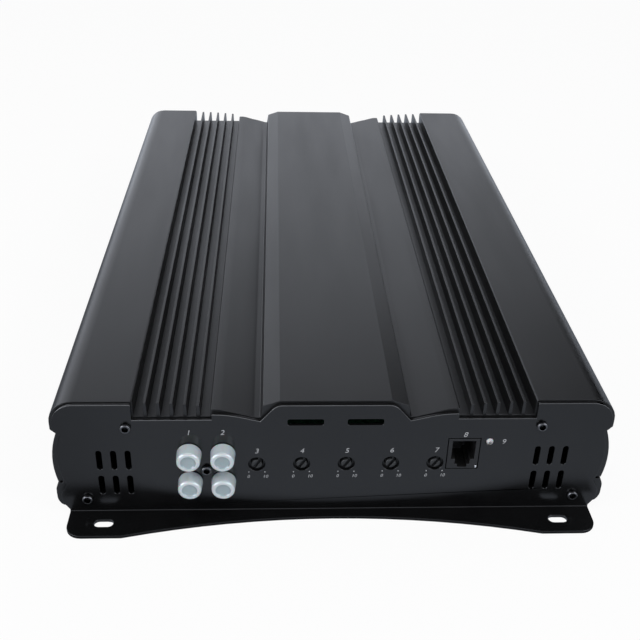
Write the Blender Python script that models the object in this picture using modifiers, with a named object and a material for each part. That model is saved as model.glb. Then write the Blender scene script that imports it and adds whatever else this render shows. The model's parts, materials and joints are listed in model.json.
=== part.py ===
"""A mono car amplifier: a finned heatsink closed by two footed end panels and a bottom cover.

Metres, +Z up, with the origin in the middle of the surface that the feet stand on. The controls
face -Y and the power terminals face +Y. The heatsink is one aluminium extrusion whose section lies
in the XZ plane. The circuit board hangs under it with its components pointing down.
"""
from math import acos, asin, atan2, ceil, cos, hypot, pi, radians, sin, sqrt, tan

import bmesh
import bpy
from mathutils import Euler, Matrix, Vector

# Fits
FIT_GAP = 0.0003                  # left between solids that touch
SCREW_CLEARANCE = 0.0003          # round a screw in its hole

# Heatsink section, from its middle outwards
HEATSINK_LENGTH = 0.3660
HEATSINK_WIDTH = 0.2343
HEATSINK_TOP = 0.0580             # its flat top above the surface it stands on
CENTRE_FLAT_HALF_WIDTH = 0.0230
CENTRE_CHAMFER_RUN = 0.0071
CENTRE_CHAMFER_DROP = 0.0025
CENTRE_WALL_RUN = 0.0009
VALLEY_DEPTH = 0.0082
VALLEY_WIDTH = 0.0026
VALLEY_TILT = 0.0001              # by which the valley rises outwards
VALLEY_BANK_RUN = 0.0028          # of the short steep bank between the valley and the slope
VALLEY_BANK_RISE = 0.0009
VALLEY_RADIUS = 0.0030
SHOULDER_RISE_RUN = 0.0144        # from the valley to the shoulder
SHOULDER_RADIUS = 0.0120
SHOULDER_DEPTH = 0.0040
SHOULDER_FLAT_WIDTH = 0.0034
GROOVE_DEPTH = 0.0074
FIN_COUNT = 5
FIN_PITCH = 0.0054
FIN_MARGIN = 0.0049               # from a groove wall to the nearest fin's middle
FIN_TIP_THICKNESS = 0.0012
FIN_ROOT_THICKNESS = 0.0017
FIN_TIP_DEPTH_INNER = 0.0020
FIN_TIP_DEPTH_OUTER = 0.0008
WING_EDGE_RADIUS = 0.0010
WING_CORNER_RADIUS = 0.0102
OVERHANG_DEPTH = 0.0139           # of the wing's drip edge below the top
OVERHANG_UNDERCUT = 0.0021
OVERHANG_UNDERCUT_DROP = 0.0020
BELLY_BULGE = 0.0019
BELLY_BASE_INSET = 0.0003
SIDE_GROOVE_HEIGHT = 0.0164
SIDE_GROOVE_RADIUS = 0.0007
SIDE_GROOVE_MOUTH = 0.0008
BEAD_REACH = 0.0010               # of the lower bead beyond the wing's side
BEAD_TOP_HEIGHT = 0.0128
BEAD_LOWER_HEIGHT = 0.0066
BEAD_RADIUS = 0.0050
BEAD_HEEL_INSET = 0.0008
BEAD_HEEL_HEIGHT = 0.0034
BEAD_HEEL_RADIUS = 0.0025
SIDE_FOOT_HEIGHT = 0.0032         # lower end of the side walls
SIDE_FOOT_INSET = 0.0044
SOFT_EDGE_RADIUS = 0.0006

# Heatsink cavity
BASE_THICKNESS = 0.0053
SIDE_WALL = 0.0055
WING_SKIN = 0.0034
WING_INNER_WALL = 0.0032
CENTRE_SKIN = 0.0035
CENTRE_INNER_WALL = 0.0036
CAVITY_CORNER_RADIUS = 0.0066
BOARD_RIB_X = 0.0600
BOARD_RIB_WIDTH = 0.0050
BOARD_RIB_DROP = 0.0037
COVER_FLANGE_WIDTH = 0.0155
COVER_FLANGE_THICKNESS = 0.0025
PORT_WALL = 0.0015                # round a screw port's bore
PORT_MOUTH = 0.0014
PORT_WEB = 0.0030
UPPER_PORT_OFFSET = 0.0032        # outwards from the fin bank's outer wall
UPPER_PORT_DEPTH = 0.0117
LOWER_PORT_INSET = 0.0123
LOWER_PORT_HEIGHT = 0.0087

# End panels
SHEET_THICKNESS = 0.0015
BEND_RADIUS = 0.0005              # inside the fold
PANEL_TOP_INSET = 0.0011
PANEL_CREST_HALF_WIDTH = 0.0244
PANEL_CREST_RADIUS = 0.0055
PANEL_WING_INSET = 0.0005
PANEL_SHOULDER_INSET = 0.0015
PANEL_VALLEY_INSET = 0.0008
PANEL_RISE_SPREAD = 0.0020        # of the sheet's rise beyond both ends of the heatsink's
PANEL_GROOVE_INSET = 0.0007
PANEL_SIDE_INSET = 0.0016
PANEL_NOTCH_INSET = 0.0041        # of the sheet's side under the wing's drip edge
PANEL_BELLY_BULGE = 0.0024
PANEL_BEAD_INSET = 0.0014
PANEL_STEP_INSET = 0.0005
PANEL_CORNER_RADIUS = 0.0090
FOOT_REACH = 0.0172               # beyond the heatsink's end
FOOT_WAIST_REACH = 0.0066
FOOT_SIDE_INSET = 0.0041
FOOT_CORNER_RADIUS = 0.0067
FOOT_PAD_WIDTH = 0.0237
FOOT_SLOT_INSET = 0.01945
FOOT_SLOT_REACH = 0.0094
FOOT_SLOT_LENGTH = 0.0082
FOOT_SLOT_WIDTH = 0.0044

# Vents in the end panels
TOP_VENT_LENGTH = 0.0150
TOP_VENT_HEIGHT = 0.0030
TOP_VENT_CORNER = 0.0008
TOP_VENT_OFFSET = 0.0124
TOP_VENT_DEPTH = 0.0096
SIDE_VENT_WIDTH = 0.0024
SIDE_VENT_LENGTH = 0.0100
SIDE_VENT_PITCH = 0.0060
SIDE_VENT_COUNT = 3
SIDE_VENT_OFFSET = 0.0034         # of the first vent from the fin bank's outer wall
SIDE_VENT_HEIGHTS = (0.0164, 0.0297)
SIDE_VENT_SKEW = 0.0005           # by which the right vents stand higher and the left ones lower

# Bottom cover
COVER_THICKNESS = 0.0012
COVER_SIDE_INSET = 0.0050
COVER_SCREW_INSET = 0.0180
COVER_SCREW_REACH = 0.1500

# Screws
SCREW_RADIUS = 0.0015
SCREW_LENGTH = 0.0100
SCREW_HEAD_RADIUS = 0.0022
SCREW_HEAD_HEIGHT = 0.0015
SCREW_RECESS_SPAN = 0.0026
SCREW_RECESS_WIDTH = 0.0007
SCREW_RECESS_DEPTH = 0.0008
COVER_SCREW_LENGTH = 0.0045
COVER_SCREW_HEAD_RADIUS = 0.0027

# Circuit boards
BOARD_THICKNESS = 0.0016
BOARD_SIDE_GAP = 0.0016
BOARD_END_GAP = 0.0008
DRIVER_BOARD_X = 0.0080
DRIVER_BOARD_LENGTH = 0.0700
DRIVER_BOARD_HEIGHT = 0.0220

# RCA jacks
RCA_CENTRE_X = -0.0537
RCA_DROP = 0.0142                 # of the middle of the block below the board
RCA_PITCH_X = 0.0140
RCA_PITCH_Z = 0.0148
RCA_BLOCK_MARGIN = 0.0065
RCA_SCREW_DROP = 0.0013           # of the block's screw below its middle
RCA_BLOCK_DEPTH = 0.0120
RCA_SLEEVE_RADIUS = 0.00415
RCA_SLEEVE_WALL = 0.0005
RCA_SLEEVE_SEAT = 0.0050          # depth of the sleeve in the block
RCA_SLEEVE_REACH = 0.0053         # beyond the panel's face
RCA_CORE_BORE_RADIUS = 0.0017
RCA_CORE_SETBACK = 0.0005
RCA_PANEL_HOLE_RADIUS = 0.0047
CAP_RADIUS = 0.0052
CAP_NOSE_RADIUS = 0.0049
CAP_LENGTH = 0.0065
CAP_EDGE_RADIUS = 0.0008
CAP_DISH_RADIUS = 0.0031
CAP_DISH_DEPTH = 0.0004
CAP_END_WALL = 0.0012

# Trimmer potentiometers
POT_CENTRE_X = 0.0051
POT_PITCH = 0.0189
POT_DROP = 0.0131
POT_BODY_WIDTH = 0.0086
POT_BODY_DEPTH = 0.0080
POT_BODY_BELOW = 0.0050
POT_HOLE_RADIUS = 0.0036
POT_SHAFT_RADIUS = 0.0023
POT_SHAFT_SEAT = 0.0060
POT_SLOT_WIDTH = 0.0011
POT_SLOT_DEPTH = 0.0014
POT_START_ANGLE = 40              # of the slot at rest, clockwise from upright

# Remote socket
SOCKET_CENTRE_X = 0.0545
SOCKET_WIDTH = 0.0133
SOCKET_HEIGHT = 0.0157
SOCKET_DEPTH = 0.0150
SOCKET_ROOF = 0.0012
SOCKET_MOUTH_WIDTH = 0.0098
SOCKET_MOUTH_HEIGHT = 0.0095
SOCKET_STEP_WIDTH = 0.0064
SOCKET_STEP_HEIGHT = 0.0027
SOCKET_TAB_WIDTH = 0.0040
SOCKET_TAB_HEIGHT = 0.0016
SOCKET_BACK_WALL = 0.0020

# Indicator
LED_X = 0.0652
LED_DROP = 0.0019
LED_RADIUS = 0.0015
LED_REACH = 0.0010                # of its dome beyond the panel's face
LED_HOLE_RADIUS = 0.0018
LED_HOLDER_WIDTH = 0.0044
LED_HOLDER_HEIGHT = 0.0040
LED_HOLDER_DEPTH = 0.0050

# Terminal blocks
TERMINAL_BASE_HEIGHT = 0.0140
TERMINAL_REACH = 0.0140           # beyond the panel's face
TERMINAL_INSIDE = 0.0122
TERMINAL_WALL = 0.0025
TERMINAL_EDGE_RADIUS = 0.0008
TERMINAL_COLLAR = 0.0020
TERMINAL_COLLAR_THICKNESS = 0.0015
CONTACT_HEIGHT = 0.0140
CONTACT_LENGTH = 0.0240
CONTACT_BORE_DEPTH = 0.0190
WIRE_HOLE_MARGIN = 0.0005
SET_SCREW_SETBACK = 0.0065        # from the block's outer face
SET_SCREW_SINK = 0.0011           # below the block's top
SET_SCREW_SOCKET_DEPTH = 0.0020
POWER_BLOCK_X = -0.0300
POWER_CONTACT_WIDTH = 0.0140
POWER_BORE_RADIUS = 0.0048
POWER_SCREW_RADIUS = 0.0030
TURN_ON_CONTACT_WIDTH = 0.0080
TURN_ON_BORE_RADIUS = 0.0022
TURN_ON_SCREW_RADIUS = 0.0018
SPEAKER_BLOCK_X = 0.0440
SPEAKER_CONTACT_WIDTH = 0.0110
SPEAKER_BORE_RADIUS = 0.0034
SPEAKER_SCREW_RADIUS = 0.0025

# Components under the board
TRANSFORMER_RADIUS = 0.0240
TRANSFORMER_HOLE_RADIUS = 0.0100
TRANSFORMER_HEIGHT = 0.0220
TRANSFORMER_X = -0.0520
TRANSFORMER_PLACES_Y = (-0.0480, 0.0120)
INDUCTOR_RADIUS = 0.0190
INDUCTOR_HOLE_RADIUS = 0.0080
INDUCTOR_HEIGHT = 0.0180
INDUCTOR_X = 0.0480
INDUCTOR_Y = 0.1150
WINDING_CORNER_RADIUS = 0.0050
CAPACITOR_RADIUS = 0.0110
CAPACITOR_HEIGHT = 0.0300
CAPACITOR_X = 0.0520
CAPACITOR_FIRST_Y = -0.0500
CAPACITOR_PITCH = 0.0280
CAPACITOR_COUNT = 3
TRANSISTOR_THICKNESS = 0.0045
TRANSISTOR_WIDTH = 0.0100
TRANSISTOR_LENGTH = 0.0160
TRANSISTOR_PITCH = 0.0220
TRANSISTOR_COUNT = 8
TRANSISTOR_CENTRE_Y = 0.0100
CLAMP_BAR_HEIGHT = 0.0060

# Fineness of round shapes
ARC_TOLERANCE = 0.00005           # how far a chord may lie inside its arc
RING_STEPS = 20
WINDING_STEPS = 16
SCREW_STEPS = 12
FINE = 0.00001                    # for merging points
FILL_TURN = Matrix.Rotation(radians(17), 4, "Z")

# What follows from the sizes above
HALF_LENGTH = HEATSINK_LENGTH / 2
HALF_WIDTH = HEATSINK_WIDTH / 2
CHAMFER_END = CENTRE_FLAT_HALF_WIDTH + CENTRE_CHAMFER_RUN
VALLEY_START = CHAMFER_END + CENTRE_WALL_RUN
RISE_START = VALLEY_START + VALLEY_WIDTH
RISE_END = RISE_START + SHOULDER_RISE_RUN
FIN_BANK_START = RISE_END + SHOULDER_FLAT_WIDTH
FIN_BANK_END = FIN_BANK_START + 2 * FIN_MARGIN + (FIN_COUNT - 1) * FIN_PITCH
VALLEY = HEATSINK_TOP - VALLEY_DEPTH
SHOULDER = HEATSINK_TOP - SHOULDER_DEPTH
GROOVE_FLOOR = HEATSINK_TOP - GROOVE_DEPTH
BASE_UNDERSIDE = GROOVE_FLOOR - BASE_THICKNESS
INNER_WALL_X = HALF_WIDTH - SIDE_WALL
PORT_BORE_RADIUS = SCREW_RADIUS + SCREW_CLEARANCE
PORT_RADIUS = PORT_BORE_RADIUS + PORT_WALL
UPPER_PORT = (FIN_BANK_END + UPPER_PORT_OFFSET, HEATSINK_TOP - UPPER_PORT_DEPTH)
LOWER_PORT = (HALF_WIDTH - LOWER_PORT_INSET, LOWER_PORT_HEIGHT)
RIB_UNDERSIDE = BASE_UNDERSIDE - BOARD_RIB_DROP
BOARD_TOP = RIB_UNDERSIDE - FIT_GAP
BOARD_UNDERSIDE = BOARD_TOP - BOARD_THICKNESS
COMPONENT_TOP = BOARD_UNDERSIDE - FIT_GAP
PANEL_BACK = HALF_LENGTH + FIT_GAP
PANEL_FACE = PANEL_BACK + SHEET_THICKNESS
PANEL_HALF_WIDTH = HALF_WIDTH - PANEL_SIDE_INSET
FOOT_HALF_WIDTH = HALF_WIDTH - FOOT_SIDE_INSET
COVER_TOP = SIDE_FOOT_HEIGHT - FIT_GAP
COVER_UNDERSIDE = COVER_TOP - COVER_THICKNESS
COVER_SCREW_X = HALF_WIDTH - COVER_SCREW_INSET
RCA_CENTRE_Z = BOARD_UNDERSIDE - RCA_DROP
RCA_SCREW_Z = RCA_CENTRE_Z - RCA_SCREW_DROP
POT_CENTRE_Z = BOARD_UNDERSIDE - POT_DROP
LED_Z = BOARD_UNDERSIDE - LED_DROP

# Ways an outline can face: UP lies in XY, FRONT in XZ and SIDE in YZ
FACINGS = {"UP": (0, 0, 0), "FRONT": (pi / 2, 0, 0), "SIDE": (pi / 2, 0, pi / 2)}
# Ways the axis of a turned shape can point
AXES = {"UP": (0, 0, 0), "DOWN": (pi, 0, 0), "FRONT": (pi / 2, 0, 0), "BACK": (-pi / 2, 0, 0)}


# ---------------------------------------------------------------- scene, collections, materials

def clear_scene():
    """Remove every object, mesh and curve that the file holds."""
    for old in list(bpy.data.objects):
        bpy.data.objects.remove(old)
    for old in list(bpy.data.collections):
        bpy.data.collections.remove(old)


def new_collection(name):
    """Make a collection under the scene."""
    made = bpy.data.collections.new(name)
    bpy.context.scene.collection.children.link(made)
    return made


def new_material(name, colour, roughness, metallic):
    """Make a Principled material."""
    made = bpy.data.materials.new(name)
    made.use_nodes = True
    shader = made.node_tree.nodes["Principled BSDF"]
    shader.inputs["Base Color"].default_value = (*colour, 1)
    shader.inputs["Roughness"].default_value = roughness
    shader.inputs["Metallic"].default_value = metallic
    return made


clear_scene()
PARTS = new_collection("car_amplifier")
CUTTERS = new_collection("cutters")
ANODISED = new_material("anodised_aluminium", (0.020, 0.021, 0.023), 0.42, 0.9)
COATED_STEEL = new_material("coated_steel", (0.022, 0.023, 0.025), 0.35, 0.2)
BLACK_SCREW = new_material("black_screw", (0.015, 0.015, 0.016), 0.30, 0.8)
BLACK_PLASTIC = new_material("black_plastic", (0.018, 0.018, 0.020), 0.45, 0.0)
MILKY_PLASTIC = new_material("milky_plastic", (0.62, 0.66, 0.68), 0.30, 0.0)
NICKEL = new_material("nickel", (0.66, 0.64, 0.60), 0.22, 1.0)
BRASS = new_material("brass", (0.75, 0.58, 0.27), 0.28, 1.0)
STEEL = new_material("steel", (0.45, 0.46, 0.48), 0.30, 1.0)
DIFFUSER = new_material("indicator_lens", (0.75, 0.78, 0.80), 0.20, 0.0)
BOARD = new_material("circuit_board", (0.02, 0.12, 0.06), 0.40, 0.0)
WINDING = new_material("enamelled_copper", (0.50, 0.20, 0.08), 0.35, 0.8)
SLEEVING = new_material("capacitor_sleeve", (0.03, 0.04, 0.08), 0.40, 0.0)


# ---------------------------------------------------------------- outlines

def arc_steps(radius, sweep):
    """How many chords an arc of this radius and sweep, in radians, needs."""
    step = 2 * acos(max(0.5, 1 - ARC_TOLERANCE / radius))
    return max(2, ceil(abs(sweep) / step))


def arc(centre_x, centre_y, radius, start, end):
    """Points on an arc from start to end, in degrees, both ends included."""
    steps = arc_steps(radius, radians(end - start))
    points = []
    for index in range(steps + 1):
        angle = radians(start + (end - start) * index / steps)
        points.append((centre_x + radius * cos(angle), centre_y + radius * sin(angle)))
    return points


def rounded(corners, closed=False):
    """Turn (x, y, radius) corners into points, each corner rounded within its own edges."""
    points = []
    last = len(corners) - 1
    for index, (x, y, radius) in enumerate(corners):
        if radius == 0 or (not closed and index in (0, last)):
            points.append((x, y))
            continue
        here = Vector((x, y))
        back = Vector(corners[index - 1][:2]) - here
        ahead = Vector(corners[(index + 1) % len(corners)][:2]) - here
        half_angle = back.angle(ahead) / 2
        reach = min(radius / tan(half_angle), 0.45 * min(back.length, ahead.length))
        middle = here + (back.normalized() + ahead.normalized()).normalized() * reach / cos(half_angle)
        first = here + back.normalized() * reach - middle
        final = here + ahead.normalized() * reach - middle
        start = atan2(first.y, first.x)
        sweep = (atan2(final.y, final.x) - start + pi) % (2 * pi) - pi
        steps = arc_steps(first.length, sweep)
        for step in range(steps + 1):
            angle = start + sweep * step / steps
            points.append((middle.x + first.length * cos(angle), middle.y + first.length * sin(angle)))
    return points


def bulged(start, end, bulge, steps):
    """Points between start and end on an arc that stands out to the left of the way by bulge."""
    chord = Vector(end) - Vector(start)
    side = Vector((-chord.y, chord.x)).normalized()
    points = []
    for index in range(steps + 1):
        share = index / steps
        rise = 4 * bulge * share * (1 - share)
        points.append(tuple(Vector(start) + chord * share + side * rise))
    return points


def rectangle(low_x, low_y, high_x, high_y):
    """A rectangle between two corners."""
    return [(low_x, low_y), (high_x, low_y), (high_x, high_y), (low_x, high_y)]


def circle(centre_x, centre_y, radius):
    """A closed circle."""
    return arc(centre_x, centre_y, radius, 0, 360)[:-1]


def slot(centre_x, centre_y, length_x, length_y):
    """A slot with round ends, lying along its longer side."""
    radius = min(length_x, length_y) / 2
    run = (length_x - 2 * radius) / 2
    rise = (length_y - 2 * radius) / 2
    if length_x > length_y:
        return (arc(centre_x + run, centre_y, radius, -90, 90)
                + arc(centre_x - run, centre_y, radius, 90, 270))
    return (arc(centre_x, centre_y + rise, radius, 0, 180)
            + arc(centre_x, centre_y - rise, radius, 180, 360))


def mirrored(half):
    """Close a half outline, which runs from x = 0 round to x = 0, with its mirror image."""
    return half + [(-x, y) for x, y in reversed(half) if x > FINE]


# ---------------------------------------------------------------- solids

def place(made, name, colour, collection=None):
    """Name an object, give it its material and link it."""
    made.name = name
    made.data.materials.clear()
    made.data.materials.append(colour)
    (collection or PARTS).objects.link(made)
    return made


def shade(mesh):
    """Shade a mesh smooth between its sharp edges."""
    mesh.shade_smooth()
    mesh.set_sharp_from_angle(angle=radians(35))


def flat_solid(name, outlines, thickness, centre, facing, colour):
    """Fill outlines, the later ones holes in the first, and give them thickness both ways.

    The curve is drawn turned and its object is turned back, because the fill leaves splits where
    many points share one height.
    """
    curve = bpy.data.curves.new(name, "CURVE")
    curve.dimensions = "2D"
    curve.fill_mode = "BOTH"
    curve.extrude = thickness / 2
    for outline in outlines:
        spline = curve.splines.new("POLY")
        spline.points.add(len(outline) - 1)
        for point, (across, up) in zip(spline.points, outline):
            point.co = (*(FILL_TURN @ Vector((across, up, 0))), 1)
        spline.use_cyclic_u = True
    guide = bpy.data.objects.new(name, curve)
    facing_turn = Euler(FACINGS[facing]).to_matrix().to_4x4()
    guide.matrix_world = Matrix.Translation(centre) @ facing_turn @ FILL_TURN.inverted()
    CUTTERS.objects.link(guide)
    bpy.context.view_layer.update()
    filled = guide.evaluated_get(bpy.context.evaluated_depsgraph_get())
    mesh = bpy.data.meshes.new_from_object(filled)
    shape = bmesh.new()
    shape.from_mesh(mesh)
    bmesh.ops.remove_doubles(shape, verts=shape.verts, dist=FINE)
    shape.to_mesh(mesh)
    shape.free()
    made = bpy.data.objects.new(name, mesh)
    made.matrix_world = guide.matrix_world.copy()
    bpy.data.objects.remove(guide)
    return place(made, name, colour)


def box(name, low, high, colour, edge_radius=0):
    """A box between two corners, its edges rounded by a Bevel."""
    size = [end - start for start, end in zip(low, high)]
    mesh = bpy.data.meshes.new(name)
    shape = bmesh.new()
    bmesh.ops.create_cube(shape, size=1, matrix=Matrix.Diagonal((*size, 1)))
    shape.to_mesh(mesh)
    shape.free()
    made = bpy.data.objects.new(name, mesh)
    made.location = [(start + end) / 2 for start, end in zip(low, high)]
    if edge_radius:
        bevel = made.modifiers.new("Edges", "BEVEL")
        bevel.width = edge_radius
        bevel.segments = 2
    return place(made, name, colour)


def turned(name, profile, centre, axis, colour, steps=RING_STEPS, ring=False):
    """Turn a profile of (radius, height) pairs, listed down its outer side, about its height."""
    count = len(profile)
    edges = [(index, index + 1) for index in range(count - 1)]
    if ring:
        edges.append((count - 1, 0))
    mesh = bpy.data.meshes.new(name)
    mesh.from_pydata([(radius, 0, height) for radius, height in profile], edges, [])
    made = bpy.data.objects.new(name, mesh)
    made.location = centre
    made.rotation_euler = AXES[axis]
    spin = made.modifiers.new("Spin", "SCREW")
    spin.steps = steps
    spin.render_steps = steps
    spin.use_merge_vertices = True
    spin.merge_threshold = FINE
    return place(made, name, colour)


def cylinder(name, radius, length, centre, axis, colour, steps=RING_STEPS):
    """A cylinder whose base is at centre and which points along its axis."""
    return turned(name, [(0, length), (radius, length), (radius, 0), (0, 0)], centre, axis, colour, steps)


def combine(made, tool, operation="DIFFERENCE"):
    """Cut, join or intersect an object with a tool, which goes to the cutters."""
    change = made.modifiers.new(tool.name, "BOOLEAN")
    change.operation = operation
    change.object = tool
    tool.hide_render = True
    tool.display_type = "WIRE"
    for home in list(tool.users_collection):
        home.objects.unlink(tool)
    CUTTERS.objects.link(tool)


def finished(made):
    """Make an object's modifiers part of its mesh, and drop the tools that they used."""
    bpy.context.view_layer.update()
    shown = made.evaluated_get(bpy.context.evaluated_depsgraph_get())
    mesh = bpy.data.meshes.new_from_object(shown)
    tools = [change.object for change in made.modifiers if change.type == "BOOLEAN"]
    made.modifiers.clear()
    made.data = mesh
    for tool in tools:
        bpy.data.objects.remove(tool)
    shade(mesh)
    return made


def copies(pattern, places):
    """Copy a finished object to named places and remove the pattern. The copies share its mesh."""
    for name, centre in places:
        made = pattern.copy()
        made.name = name
        made.location = centre
        PARTS.objects.link(made)
    bpy.data.objects.remove(pattern)


# ---------------------------------------------------------------- heatsink

def screw_port(centre, start, end, mouth):
    """The outline round a screw port, from angle start to end, with a slot into its bore."""
    turn = 1 if end > start else -1
    outer_half = turn * asin(PORT_MOUTH / 2 / PORT_RADIUS) * 180 / pi
    inner_half = turn * asin(PORT_MOUTH / 2 / PORT_BORE_RADIUS) * 180 / pi
    return (arc(*centre, PORT_RADIUS, start, mouth - outer_half)
            + arc(*centre, PORT_BORE_RADIUS, mouth - inner_half, mouth + inner_half - turn * 360)
            + arc(*centre, PORT_RADIUS, mouth + outer_half, end))


def fin_bank():
    """The fins of one bank, from the shoulder outwards. Their tips rise towards the wing."""
    points = []
    for index in range(FIN_COUNT):
        middle = FIN_BANK_START + FIN_MARGIN + index * FIN_PITCH
        share = sin(index / max(1, FIN_COUNT - 1) * pi / 2)
        tip_depth = FIN_TIP_DEPTH_INNER + (FIN_TIP_DEPTH_OUTER - FIN_TIP_DEPTH_INNER) * share
        tip = HEATSINK_TOP - tip_depth
        points.append((middle - FIN_ROOT_THICKNESS / 2, GROOVE_FLOOR))
        points.append((middle - FIN_TIP_THICKNESS / 2, tip))
        points.append((middle + FIN_TIP_THICKNESS / 2, tip))
        points.append((middle + FIN_ROOT_THICKNESS / 2, GROOVE_FLOOR))
    return points


def shoulder_rise(start, end, low, high, steps=6):
    """The quarter wave by which a panel's top climbs from a valley to a shoulder."""
    points = []
    for index in range(1, steps + 1):
        share = index / steps
        points.append((start + (end - start) * share, low + (high - low) * sin(share * pi / 2)))
    return points


def side_groove():
    """The keyhole groove that runs along the side above its lower bead."""
    centre_x = HALF_WIDTH - BELLY_BASE_INSET - SIDE_GROOVE_MOUTH - SIDE_GROOVE_RADIUS
    half_mouth = asin(SIDE_GROOVE_MOUTH / 2 / SIDE_GROOVE_RADIUS) * 180 / pi
    return arc(centre_x, SIDE_GROOVE_HEIGHT, SIDE_GROOVE_RADIUS, half_mouth, 360 - half_mouth)


def heatsink_outside():
    """The outer section of the right half, from the middle of the top to the side's foot."""
    overhang = HEATSINK_TOP - OVERHANG_DEPTH
    belly_top = (HALF_WIDTH - OVERHANG_UNDERCUT, overhang - OVERHANG_UNDERCUT_DROP)
    belly_x = HALF_WIDTH - BELLY_BASE_INSET
    top = rounded([(0, HEATSINK_TOP, 0),
                   (CENTRE_FLAT_HALF_WIDTH, HEATSINK_TOP, SOFT_EDGE_RADIUS),
                   (CHAMFER_END, HEATSINK_TOP - CENTRE_CHAMFER_DROP, SOFT_EDGE_RADIUS),
                   (VALLEY_START, VALLEY, SOFT_EDGE_RADIUS),
                   (RISE_START, VALLEY + VALLEY_TILT, VALLEY_RADIUS),
                   (RISE_START + VALLEY_BANK_RUN, VALLEY + VALLEY_TILT + VALLEY_BANK_RISE,
                    VALLEY_RADIUS),
                   (RISE_END, SHOULDER, SHOULDER_RADIUS),
                   (FIN_BANK_START, SHOULDER, SOFT_EDGE_RADIUS),
                   (FIN_BANK_START, GROOVE_FLOOR, 0)])
    corner_x = HALF_WIDTH - WING_CORNER_RADIUS
    corner_z = HEATSINK_TOP - WING_CORNER_RADIUS
    wing = rounded([(FIN_BANK_END, GROOVE_FLOOR, 0),
                    (FIN_BANK_END, HEATSINK_TOP, WING_EDGE_RADIUS),
                    (corner_x, HEATSINK_TOP, 0)])
    corner = arc(corner_x, corner_z, WING_CORNER_RADIUS, 90, 0)
    drip = rounded([corner[-1] + (0,),
                    (HALF_WIDTH, overhang, SOFT_EDGE_RADIUS),
                    belly_top + (0,)])
    half_mouth = SIDE_GROOVE_MOUTH / 2
    belly = bulged(belly_top, (belly_x, SIDE_GROOVE_HEIGHT + half_mouth), BELLY_BULGE, 8)
    bead_x = HALF_WIDTH + BEAD_REACH
    bead = rounded([(belly_x, SIDE_GROOVE_HEIGHT - half_mouth, 0),
                    (bead_x, BEAD_TOP_HEIGHT, BEAD_RADIUS),
                    (bead_x, BEAD_LOWER_HEIGHT, BEAD_RADIUS),
                    (HALF_WIDTH - BEAD_HEEL_INSET, BEAD_HEEL_HEIGHT, BEAD_HEEL_RADIUS),
                    (HALF_WIDTH - SIDE_FOOT_INSET, SIDE_FOOT_HEIGHT, 0)])
    side = wing[:-1] + corner + drip[1:] + belly[1:] + side_groove() + bead
    return top + fin_bank() + side


def heatsink_inside():
    """The cavity of the right half, from the side's foot up and in to the middle."""
    flange_x = HALF_WIDTH - SIDE_FOOT_INSET - COVER_FLANGE_WIDTH
    flange_top = SIDE_FOOT_HEIGHT + COVER_FLANGE_THICKNESS
    lower_drop = flange_top - LOWER_PORT[1]
    lower_start = -180 - asin(lower_drop / PORT_RADIUS) * 180 / pi
    web_end = asin(PORT_WEB / 2 / PORT_RADIUS) * 180 / pi
    upper_side = FIN_BANK_END + WING_INNER_WALL - UPPER_PORT[0]
    upper_start = 90 - asin(upper_side / PORT_RADIUS) * 180 / pi
    upper_drop = BASE_UNDERSIDE - UPPER_PORT[1]
    upper_end = -180 - asin(upper_drop / PORT_RADIUS) * 180 / pi
    wing_ceiling = HEATSINK_TOP - WING_SKIN
    centre_ceiling = HEATSINK_TOP - CENTRE_SKIN
    flange = [(flange_x, SIDE_FOOT_HEIGHT), (flange_x, flange_top)]
    lower = screw_port(LOWER_PORT, lower_start + 360, web_end, 150)
    wing = rounded([(INNER_WALL_X, LOWER_PORT[1] + PORT_WEB / 2, 0),
                    (INNER_WALL_X, wing_ceiling, CAVITY_CORNER_RADIUS),
                    (FIN_BANK_END + WING_INNER_WALL, wing_ceiling, WING_EDGE_RADIUS),
                    (FIN_BANK_END + WING_INNER_WALL, UPPER_PORT[1] + PORT_RADIUS, 0)])
    upper = screw_port(UPPER_PORT, upper_start, upper_end, -45)
    rib_out = BOARD_RIB_X + BOARD_RIB_WIDTH / 2
    rib_in = BOARD_RIB_X - BOARD_RIB_WIDTH / 2
    rib = [(rib_out, BASE_UNDERSIDE), (rib_out, RIB_UNDERSIDE),
           (rib_in, RIB_UNDERSIDE), (rib_in, BASE_UNDERSIDE)]
    centre = rounded([(VALLEY_START - CENTRE_INNER_WALL, BASE_UNDERSIDE, 0),
                      (CHAMFER_END - CENTRE_INNER_WALL, centre_ceiling - CENTRE_CHAMFER_DROP,
                       SOFT_EDGE_RADIUS),
                      (CENTRE_FLAT_HALF_WIDTH, centre_ceiling, SOFT_EDGE_RADIUS),
                      (0, centre_ceiling, 0)])
    return flange + lower + wing[:-1] + upper + rib + centre


def build_heatsink():
    """The extrusion, with its flanges bored for the cover screws."""
    outline = mirrored(heatsink_outside() + heatsink_inside())
    made = flat_solid("heatsink", [outline], HEATSINK_LENGTH, (0, 0, 0), "FRONT", ANODISED)
    for name, (x, y, _) in cover_screw_places():
        bore = cylinder(name + "_bore", SCREW_RADIUS + SCREW_CLEARANCE, 4 * COVER_FLANGE_THICKNESS,
                        (x, y, COVER_UNDERSIDE), "UP", ANODISED, SCREW_STEPS)
        combine(made, bore)
    return made


# ---------------------------------------------------------------- end panels

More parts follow.
